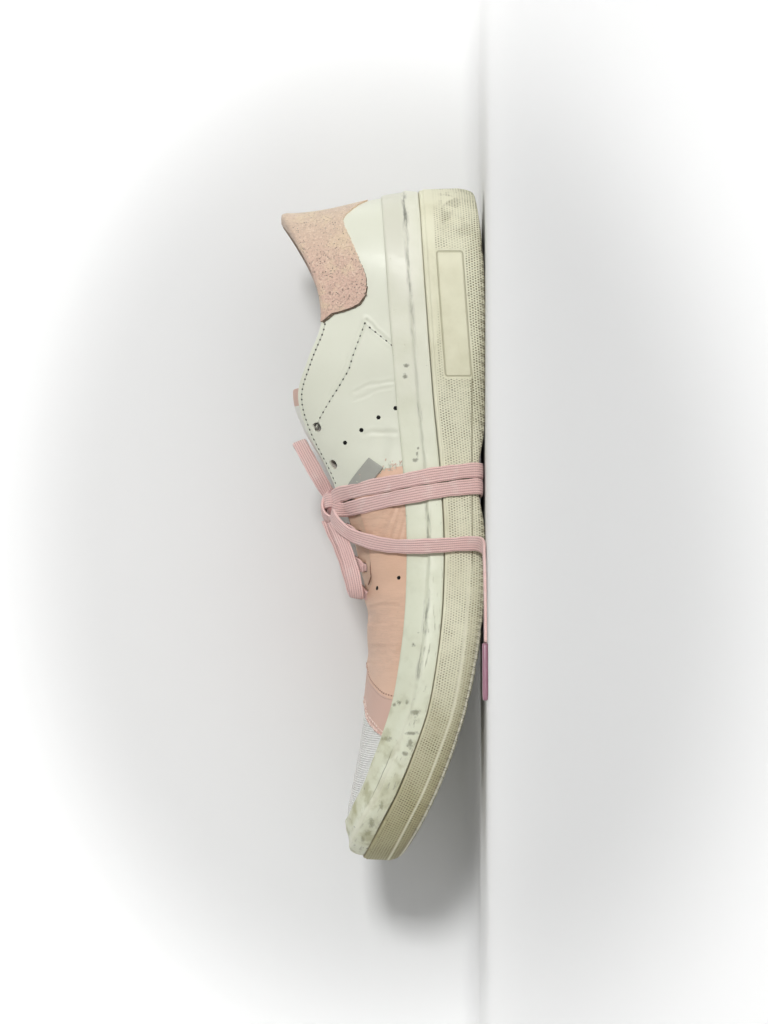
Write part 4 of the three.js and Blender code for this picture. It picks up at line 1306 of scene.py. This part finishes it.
def insole_surface(a, b):
    u = 2 * a - 1
    side, _ = edge_point(u, INSOLE_INSET)
    t = np.interp(b, (0, 0.4, 0.5, 0.6, 1), (0, 1, 1, 1, 0))[:, None]
    flat = spine_point(u) * (1 - t) + side * t
    lift = np.interp(b, (0, 0.42, 0.58, 1), (INSOLE_THICKNESS, INSOLE_THICKNESS, 0, 0))
    return np.column_stack([flat, cup_floor(flat[:, 0]) + GAP + lift]), flat


def make_insole():
    finish_piece("footbed", sheet_mesh(*INSOLE_GRID, insole_surface), LINING, ("insole",))


# ------------------------------------------------------------------ seams, holes and the grey tape
QUARTER_VEE = (
    (66.5, 32.5), (54.3, 47.6), (67.8, 52.5), (73, 54.1), (80.7, 58.4), (87.6, 63), (93.2, 66), (96.6, 66.8),
)
COLLAR_PITCH, QUARTER_PITCH, VAMP_PITCH = 2.1, 2.6, 1.7
COLLAR_START, COLLAR_END, COLLAR_BELOW = 0.238, 0.475, 1.6
VENTS = ((88.3, 35.3), (92.4, 42.0), (97.3, 48.8), (102.5, 55.3))
VAMP_VENTS = ((157, 33.5), (161, 41.8))
FACING_VENTS = ((140.2, 50),)
VENT_RADIUS = 0.95


def make_seams():
    share = np.linspace(COLLAR_START, COLLAR_END, 60)
    behind = [(x - 1.1, z - 0.5) for x, z in VAMP_FRONT]
    collar, vee, front = [], [], []
    for side in (INNER, OUTER):
        below = girth_at(side * share) - COLLAR_BELOW
        collar.append(even_points(side * share, below, COLLAR_PITCH, QUARTER_OUT))
        for arm in (QUARTER_VEE[:2], QUARTER_VEE[1:]):
            vee.append(line_on_upper(side, arm, QUARTER_PITCH, QUARTER_OUT))
        front.append(line_on_upper(side, behind, VAMP_PITCH, VAMP_OUT))
    sew("collar_stitches", collar, THREAD, COLLAR_PITCH)
    sew("quarter_stitches", vee, THREAD, QUARTER_PITCH)
    sew("vamp_stitches", front, PINK_THREAD, VAMP_PITCH, SEAM_SHADE)


def add_disc(mesh, side, x, z, radius, out):
    """A flat dark round on the upper, for a hole too small to cut."""
    u, up = spot(side, x, z)
    at = skin([u], [up], out)
    ahead = skin([u + 0.001 * side], [up], out)
    normal = skin([u], [up], out + 1) - at
    line = np.vstack([at, at + (ahead - at) * 1e-3])
    add_seeds(mesh, line, np.vstack([normal, normal]), (radius * 2, radius * 2, 0.2))


def make_vents():
    mesh = bmesh.new()
    for places, out in ((VENTS, QUARTER_OUT), (VAMP_VENTS, VAMP_OUT), (FACING_VENTS, 0.05)):
        for side in (INNER, OUTER):
            for x, z in places:
                add_disc(mesh, side, x, z, VENT_RADIUS, out)
    finish_piece("vent_holes", mesh, VENT_DARK)


TAPE_CORNERS = ((108.3, 45.8), (112.5, 40.1), (121.5, 47), (119.6, 54))
TAPE_GRID, TAPE_THICKNESS = (24, 12), 0.35


def make_tape():
    """The bare woven tape that comes out from under the lace, on the inner side."""
    corners = np.array([spot(INNER, x, z) for x, z in TAPE_CORNERS])

    def place(a, b):
        low = corners[0] * (1 - a)[:, None] + corners[3] * a[:, None]
        high = corners[1] * (1 - a)[:, None] + corners[2] * a[:, None]
        at = low * (1 - b)[:, None] + high * b[:, None]
        lift = 0.5 + 0.5 * (1 - a) ** 2
        return skin(at[:, 0], at[:, 1], QUARTER_OUT + lift), np.stack([a * 18, b * 8], -1)

    piece = finish_piece("grey_tape", sheet_mesh(*TAPE_GRID, place, merge=0), GREY_TAPE)
    thicken(piece, TAPE_THICKNESS)


FRAY_SPACING, FRAY_SIZE = 0.6, (1.2, 0.35, 0.35)


def make_frayed_seam():
    """Loose white and pink thread ends along the quarter's front edge."""
    scatter = np.random.default_rng(7)
    for name, thread in (("white_fray", THREAD), ("pink_fray", PINK_THREAD)):
        mesh = bmesh.new()
        for side in (INNER, OUTER):
            line, normals = line_on_upper(side, QUARTER_FRONT[:3], FRAY_SPACING, QUARTER_OUT)
            for at, normal in zip(line, normals):
                ahead = at + scatter.normal(0, 0.7, 3) * (1, 0.3, 1)
                beyond = ahead + scatter.normal(0, 1, 3) * (1, 0.2, 1)
                add_seeds(mesh, np.vstack([ahead, beyond]), np.vstack([normal, normal]), FRAY_SIZE)
        finish_piece(name, mesh, thread)


# ------------------------------------------------------------------ the lace
def open_curve(points, steps):
    """A centripetal curve through the points, from the first to the last, and its parameter in points."""
    line = np.array(points, float)
    line = np.vstack([2 * line[:1] - line[1:2], line, 2 * line[-1:] - line[-2:-1]])
    pieces = [curve_piece(*corners, steps) for corners in zip(line, line[1:], line[2:], line[3:])]
    smooth = np.vstack([*pieces, line[-2:-1]])
    return smooth, np.arange(len(smooth)) / steps


RIBBON_SPACING, RIBBON_SIDES = 0.8, 20


def lay_ribbon(stops, widths=None):
    """Even places along stops (point, direction out of the flat side): centre, across, facing, run, width."""
    smooth, at = open_curve([p for p, _ in stops], 24)
    lengths = lengths_along(smooth)
    run = np.linspace(0, lengths[-1], max(8, int(lengths[-1] / RIBBON_SPACING)))
    place = np.interp(run, lengths, at)
    pick = range(len(stops))
    centre = points_at(run, lengths, smooth)
    facing = points_at(place, pick, [f for _, f in stops])
    width = np.interp(place, pick, [1] * len(stops) if widths is None else widths)
    forward = np.gradient(centre, axis=0)
    across = unit(np.cross(forward, facing))
    return centre, across, unit(np.cross(across, forward)), run, width


LACE_SIDE, LACE_FACE = 0.75, 0.45  # how squarely the flat lace's edges and faces are rounded


def make_ribbon(name, stops, replaces=(), widths=None, seed=0):
    """A flat lace with slightly uneven edges. Returns the piece, its centreline in metres and its length."""
    centre, across, facing, run, width = lay_ribbon(stops, widths)
    uneven = 0.96 + 0.035 * np.sin(run / 3.7 + seed) + 0.025 * np.sin(run / 1.3 + 2 * seed)
    half_width = LACE_WIDTH / 2 * width * uneven
    half_thick = LACE_THICKNESS / 2 * (1 + 0.9 * (1 - width))

    def place(a, b):
        i = np.rint(a * (len(run) - 1)).astype(int)
        turn = 2 * math.pi * b
        side = np.sign(np.cos(turn)) * np.abs(np.cos(turn)) ** LACE_SIDE
        lift = np.sign(np.sin(turn)) * np.abs(np.sin(turn)) ** LACE_FACE
        sideways, proud = (side * half_width[i])[:, None], (lift * half_thick[i])[:, None]
        return centre[i] + across[i] * sideways + facing[i] * proud, np.stack([run[i], side * 3 + 6], -1)

    mesh = sheet_mesh(len(run) - 1, RIBBON_SIDES, place)
    bmesh.ops.holes_fill(mesh, edges=[e for e in mesh.edges if e.is_boundary])
    bmesh.ops.recalc_face_normals(mesh, faces=mesh.faces)
    piece = finish_piece(name, mesh, LACE_COTTON, replaces)
    return piece, to_frame(centre), run[-1] * MM


def share_where(side, x_at, up_at, out):
    """The share at which the upper's face, up_at(share) above the rim, lies at x_at of its own height."""
    share = np.linspace(0.3, 0.75, 500)
    points = skin(side * share, up_at(share), out, relief=False)
    return share[np.argmax(points[:, 0] >= x_at(points[:, 2]))]


def edge_share_where(side, x):
    share = np.linspace(0.2, 0.8, 1500)
    return share[np.argmax(edge_point(side * share, 0)[0][:, 0] >= x)]


def on_skin(side, share, up, out):
    """A stop for a ribbon on the upper's face: the point, and the normal there."""
    u = np.array([side * share])
    at = skin(u, np.array([up]), out, relief=False)[0]
    return at, at - skin(u, np.array([up]), out - 1, relief=False)[0]


TURNS = ((123.4, 113.8), (130, 120.2))  # x at the throat and under the waist
TURN_TOP = 58
TURN_SPREAD = 1.06  # pulled flat, so the two turns touch
BAR_LIFT = 0.35
LACE_CLEAR = GAP + LACE_THICKNESS / 2
KNOT_AT = np.array((127, 2.5, 60.8))
KNOT_CORE = (6.2, 6.6, 2.6)


def turn_stops(side, head, foot):
    clear = LACE_CLEAR + 0.2

    def lean(z):
        return foot + (head - foot) * (np.maximum(0, z) / TURN_TOP) ** 1.5

    stops = []
    for below in (1, 9, 18):
        share = share_where(side, lean, lambda s: girth_at(side * s) - below, clear)
        stops.append(on_skin(side, share, girth_at(np.array(side * share)) - below, clear))
    for up, proud in ((RAND_HEIGHT + 3, 1.5), (RAND_HEIGHT - 1, 2.2), (RAND_RIDGE, 2.8), (1, 2.6)):
        out = GAP + proud + clear
        share = share_where(side, lean, lambda s: np.full_like(s, up), out)
        stops.append(on_skin(side, share, up, out))
    under = tread_height(foot) - clear
    for out, z, tilt in (
        (clear + 0.1, 12, 0), (clear + 0.1, 7, -0.1), (clear - 0.1, 3.5, -0.6),
        (-1.6, under, -3), (-10, under, -30),
    ):
        edge, outward = edge_point(np.array([side * edge_share_where(side, lean(z))]), 0)
        stops.append((np.append(edge[0] + outward[0] * out, z), np.append(outward[0], tilt)))
    return stops


def into_knot(side, head):
    """A turn's last stops, from the throat's edge up into the knot."""
    toward = 0.35 * (KNOT_AT[0] - head)
    return [
        (KNOT_AT + np.array((-toward, side * 3, 0.4)), np.array((0, side * 0.2, 1.0))),
        (KNOT_AT + np.array((-2 * toward, side * 7.2, -1.0)), np.array((0, side * 0.6, 0.8))),
    ]


def make_turns():
    for i, (head, foot) in enumerate(TURNS):
        middle = np.array((foot, -3, tread_height(foot) - LACE_CLEAR - 0.2)), np.array((0, 0, -1.0))
        stops = [*into_knot(INNER, head), *turn_stops(INNER, head, foot), middle]
        stops += [*reversed(turn_stops(OUTER, head, foot)), *reversed(into_knot(OUTER, head))]
        make_ribbon(f"lace_round_{i + 1}", stops, (f"lace_turn_{i + 1}",), [TURN_SPREAD] * len(stops), i * 2)


CROSSING_WIDTHS = (0.4, 0.42, 0.55, 0.92, 1, 1, 1, 0.92, 0.55, 0.42, 0.4)


def make_crossings():
    """The lace over the tongue, from eyelet to eyelet, narrowed where it dives through them."""
    clear = LACE_CLEAR + BAR_LIFT
    for i, share in enumerate(EYELET_PLACES[3:]):
        half = {}
        for side in (INNER, OUTER):
            girth = float(girth_at(np.array(side * share)))
            eyelet = girth - EYELET_BELOW
            hole, normal = on_skin(side, share, eyelet, 0)
            down = on_skin(side, share, eyelet - 1, 0)[0] - hole
            half[side] = [
                (hole - normal * 4.6 + down * 0.5, down), (hole - normal * 1.5 + down * 0.2, down),
                (hole + normal * 1.0 - down * 0.2, normal + down), on_skin(side, share, girth - 3.4, clear),
                on_skin(side, share, girth - 0.6, clear),
            ]
        over = crown(share, max(0, tongue_lift(share)) + clear + 0.4)
        facing = half[INNER][-1][1] + half[OUTER][-1][1]
        stops = [*half[INNER], (over, facing), *reversed(half[OUTER])]
        make_ribbon(f"lace_over_{i + 1}", stops, (f"lace_bar_{i + 1}",), CROSSING_WIDTHS, seed=i)


LOOP_A = (  # lies back up the tongue, on its edge
    ((125, 1, 61.6), (0.3, 0.8, 0.5)), ((120.6, 1.2, 64), (0.2, 0.9, 0.3)),
    ((115.6, 2.2, 66.8), (0, 1, 0.1)), ((110.2, 1.6, 69.8), (-0.1, 1, 0)),
    ((105, -0.6, 72.7), (-0.5, 0.8, 0.1)), ((102.2, -3.8, 74.2), (-1, 0, 0.4)),
    ((103.6, -7.2, 73.5), (-0.5, -0.8, 0.1)), ((108.4, -8.6, 70.9), (0, -1, 0)),
    ((113.8, -7.8, 68), (0, -1, 0.1)), ((119.2, -4.6, 64.6), (0.2, -0.9, 0.3)),
    ((124, -2.2, 61.8), (0.3, -0.8, 0.5)),
)
LOOP_B = (  # lies forward along the throat's inner edge, on its edge
    ((133.8, 8.4, 60.4), (-0.3, 0.8, 0.5)), ((138.8, 12.6, 58), (-0.2, 0.85, 0.4)),
    ((144.8, 16.6, 55.6), (-0.1, 0.9, 0.3)), ((151, 18.8, 53.6), (0, 1, 0.2)),
    ((157, 19.4, 52.1), (0.1, 1, 0.2)), ((162, 18.2, 51.2), (0.6, 0.8, 0.1)),
    ((164.4, 15.2, 51.1), (1, 0, 0.2)), ((162.2, 12.2, 51.9), (0.6, -0.8, 0.1)),
    ((157, 11.4, 53.2), (0, -1, 0)), ((151, 10.8, 54.9), (0, -1, 0)), ((145, 9.2, 57.2), (0, -1, 0)),
    ((139, 6.2, 60), (-0.2, -1, 0.2)), ((134, 2.6, 62.4), (-0.2, -0.9, 0.5)),
)
FREE_END = (  # over the inner side, down to the floor and out along it
    ((131.4, 11, 60.8), (0.1, 0.4, 0.9)), ((135.6, 15, 58.2), (0.2, 0.6, 0.75)),
    ((139.4, 18.6, 53.4), (0.2, 0.7, 0.65)), ((141.6, 22.6, 47.6), (0.1, 0.85, 0.5)),
    ((143, 26.4, 42), (0.1, 0.9, 0.4)), ((143.8, 30.2, 36.6), (0, 0.95, 0.3)),
    ((144, 33.6, 31.4), (0, 1, 0.2)), ((143.9, 36.2, 25.8), (0, 1, 0.1)), ((143.6, 37.5, 19.6), (0, 1, 0)),
    ((143.2, 37.9, 13.2), (0, 1, 0)), ((142.8, 38.4, 7.4), (0, 1, 0.15)), ((142.9, 40.4, 3), (0, 0.6, 0.8)),
    ((144.2, 45, 1.05), (0, 0.1, 1)), ((147.2, 51.5, 1), (0, 0, 1)), ((152, 58.4, 1), (0, 0, 1)),
    ((158.5, 64.4, 1), (0, 0, 1)), ((166.5, 69, 1), (0, 0, 1)), ((175.4, 71.9, 1), (0, 0, 1)),
    ((180.6, 72.9, 1), (0, 0, 1)),
)
AGLET_RADIUS, AGLET_HEADING, AGLET_SIDES = 1.15, (0.985, 0.17, 0), 16
AGLET_RINGS = ((0, 0.98), (0.8, 1), (19.5, 1), (21.3, 0.9), (22, 0.62))  # how far along, share of the radius


def wrap_stops(axis, half_across, half_up, start, end, shift=(0, 0, 0)):
    """A ribbon's stops round the knot, turning about an axis in the floor's plane."""
    axis = np.array((*axis, 0.0)) / math.hypot(*axis)
    sideways = np.array((-axis[1], axis[0], 0))
    stops = []
    for turn in np.radians(np.linspace(start, end, 13)):
        facing = sideways * math.cos(turn) + np.array((0, 0, 1)) * math.sin(turn)
        at = sideways * math.cos(turn) * half_across + np.array((0, 0, 1)) * math.sin(turn) * half_up
        stops.append((KNOT_AT + np.array(shift) + at, facing))
    return stops


def make_knot():
    """The lace twice round itself, and the crossing strands inside."""
    core = new_mesh()
    bmesh.ops.create_uvsphere(core, u_segments=24, v_segments=14, radius=1, calc_uvs=False)
    for vert in core.verts:
        at = np.array(vert.co) * KNOT_CORE
        vert.co = to_frame((KNOT_AT + at)[None])[0]
    core = finish_piece("knot_core", core, LACE_COTTON, ("lace_knot",))
    outer = wrap_stops((1, 0.25), 6.2, 3.2, -60, 240)
    cross = wrap_stops((0.55, -0.85), 6.0, 4.0, -20, 200, (1.5, 1.5, 0))
    return core, make_ribbon("knot_wrap", outer, seed=5)[0], make_ribbon("knot_twist", cross, seed=8)[0]


def make_aglet():
    heading = Vector(AGLET_HEADING).normalized()
    mesh = new_mesh()
    turn = Vector((0, 0, 1)).rotation_difference(heading).to_matrix()
    start = np.array(FREE_END[-1][0]) + np.array(heading) * GAP
    start[2] = AGLET_RADIUS + 0.05
    rings = []
    for distance, share in AGLET_RINGS:
        ring = []
        for k in range(AGLET_SIDES):
            angle = 2 * math.pi * k / AGLET_SIDES
            local = Vector((math.cos(angle), math.sin(angle), 0)) * AGLET_RADIUS * share
            at = np.array(turn @ (local + Vector((0, 0, distance)))) + start
            ring.append(mesh.verts.new(to_frame(at[None])[0]))
        rings.append(ring)
    for low, high in zip(rings, rings[1:]):
        for k in range(AGLET_SIDES):
            mesh.faces.new((low[k - 1], low[k], high[k], high[k - 1]))
    mesh.faces.new(rings[0])
    mesh.faces.new(rings[-1])
    bmesh.ops.recalc_face_normals(mesh, faces=mesh.faces)
    return finish_piece("aglet_film", mesh, AGLET_FILM, ("aglet",))


def make_free_lace():
    knot = make_knot()
    aglet = make_aglet()
    end, line, length = make_ribbon("free_end", FREE_END, ("lace_end",), seed=1)
    for name, route, node, pieces in (
        ("loop_back", LOOP_A, "lace_loop_a", knot[:1]), ("loop_forward", LOOP_B, "lace_loop_b", knot[1:]),
    ):
        loop, line, length = make_ribbon(name, route, (node,), seed=len(route))


make_sole()
make_upper()
make_panels()
make_rand()
make_tab()
make_tongue()
make_insole()
make_seams()
make_vents()
make_tape()
make_frayed_seam()
make_turns()
make_crossings()
make_free_lace()

# ------------------------------------------------------------------ stage, light and camera
WALL_Y, COVE = -0.0575, 0.008  # the paper bends up behind the shoe
PICTURE_HALF = (207, 155)
GLOW_SHIFT = 9
LIGHTS = (  # name, place, what it looks at, watts, size
    ("key", (-1.1, 2.5, 0.5), (0, 0, 0.03), 45, 0.45),
    ("fill", (0.1, 1.9, 0.6), (0, 0, 0.03), 1.6, 1.4),
    ("top", (0.1, 0.1, 1.2), (0, 0, 0), 1.3, 0.8),
)
SKY_STRENGTH = 0.13


def make_stage():
    """Pale paper under and behind the shoe; its floor is painted paler than its wall, and it glows as painted
    light on the open floor and out to white toward the picture's corners.
    """
    finish = Finish("pale paper", Roughness=0.95, Specular_IOR_Level=0.1)
    x, y, z = finish.axes(finish.places)
    nearer = (1 - y / (DISTANCE * MM)) ** -1
    across = (x / MM - VIEW_X - GLOW_SHIFT) * nearer / PICTURE_HALF[0]
    up = (z / MM - VIEW_Z) * nearer / PICTURE_HALF[1]
    off = (across * across + up * up) ** 0.5
    # The floor part is painted paler than the wall, as painted light.
    colour = finish.blend(z.between(0.004, -0.001), (0.80, 0.803, 0.80), (0.88, 0.882, 0.875))
    finish.wear(colour)
    # Painted light: the paper glows on the open floor and out to white toward the picture's corners.
    open_floor = y.between(-0.01, 0.16) * z.between(0.004, 0)
    glow = finish.blend(open_floor, (0, 0, 0), (0.135, 0.135, 0.135))
    glow = finish.blend(off.between(0.72, 1.28), glow, (0.40, 0.40, 0.40))
    finish.tree.links.new(glow.socket, finish.shader.inputs["Emission Color"])
    finish.shader.inputs["Emission Strength"].default_value = 1
    turn = np.linspace(0, math.pi / 2, 13)
    bend = [(WALL_Y + COVE * (1 - math.sin(t)), COVE * (1 - math.cos(t))) for t in turn]
    profile = [(3, 0), (0.4, 0), (0.1, 0), *bend, (WALL_Y, 0.3), (WALL_Y, 1.2)]
    mesh = bmesh.new()
    left, right = ([mesh.verts.new((x, y, z)) for y, z in profile] for x in (-1.5, 1.5))
    for i in range(len(profile) - 1):
        mesh.faces.new((left[i], right[i], right[i + 1], left[i + 1])).smooth = True
    mesh.normal_update()
    mesh.faces.ensure_lookup_table()
    if mesh.faces[0].normal.z < 0:
        bmesh.ops.reverse_faces(mesh, faces=mesh.faces)
    data = bpy.data.meshes.new("paper")
    mesh.to_mesh(data)
    mesh.free()
    data.materials.append(finish.material)
    stage = bpy.data.objects.new("paper", data)
    bpy.context.scene.collection.objects.link(stage)


def make_light(name, place, target, power, size):
    data = bpy.data.lights.new(name, "AREA")
    data.energy, data.size = power, size
    light = bpy.data.objects.new(name, data)
    light.location = place
    light.rotation_euler = (Vector(target) - Vector(place)).to_track_quat("-Z", "Y").to_euler()
    bpy.context.scene.collection.objects.link(light)


def make_camera():
    data = bpy.data.cameras.new("camera")
    data.lens, data.sensor_width = LENS, SENSOR
    camera = bpy.data.objects.new("camera", data)
    camera.matrix_world = Matrix((
        (0, -1, 0, VIEW_X * MM), (0, 0, 1, DISTANCE * MM), (-1, 0, 0, VIEW_Z * MM), (0, 0, 0, 1)))
    bpy.context.scene.collection.objects.link(camera)
    bpy.context.scene.camera = camera


def make_world():
    world = bpy.data.worlds.new("world")
    world.use_nodes = True
    sky = world.node_tree.nodes["Background"]
    sky.inputs["Color"].default_value = (1, 1, 1, 1)
    sky.inputs["Strength"].default_value = SKY_STRENGTH
    bpy.context.scene.world = world


make_stage()
for light in LIGHTS:
    make_light(*light)
make_world()
bpy.context.scene.view_settings.view_transform = "Standard"
make_camera()
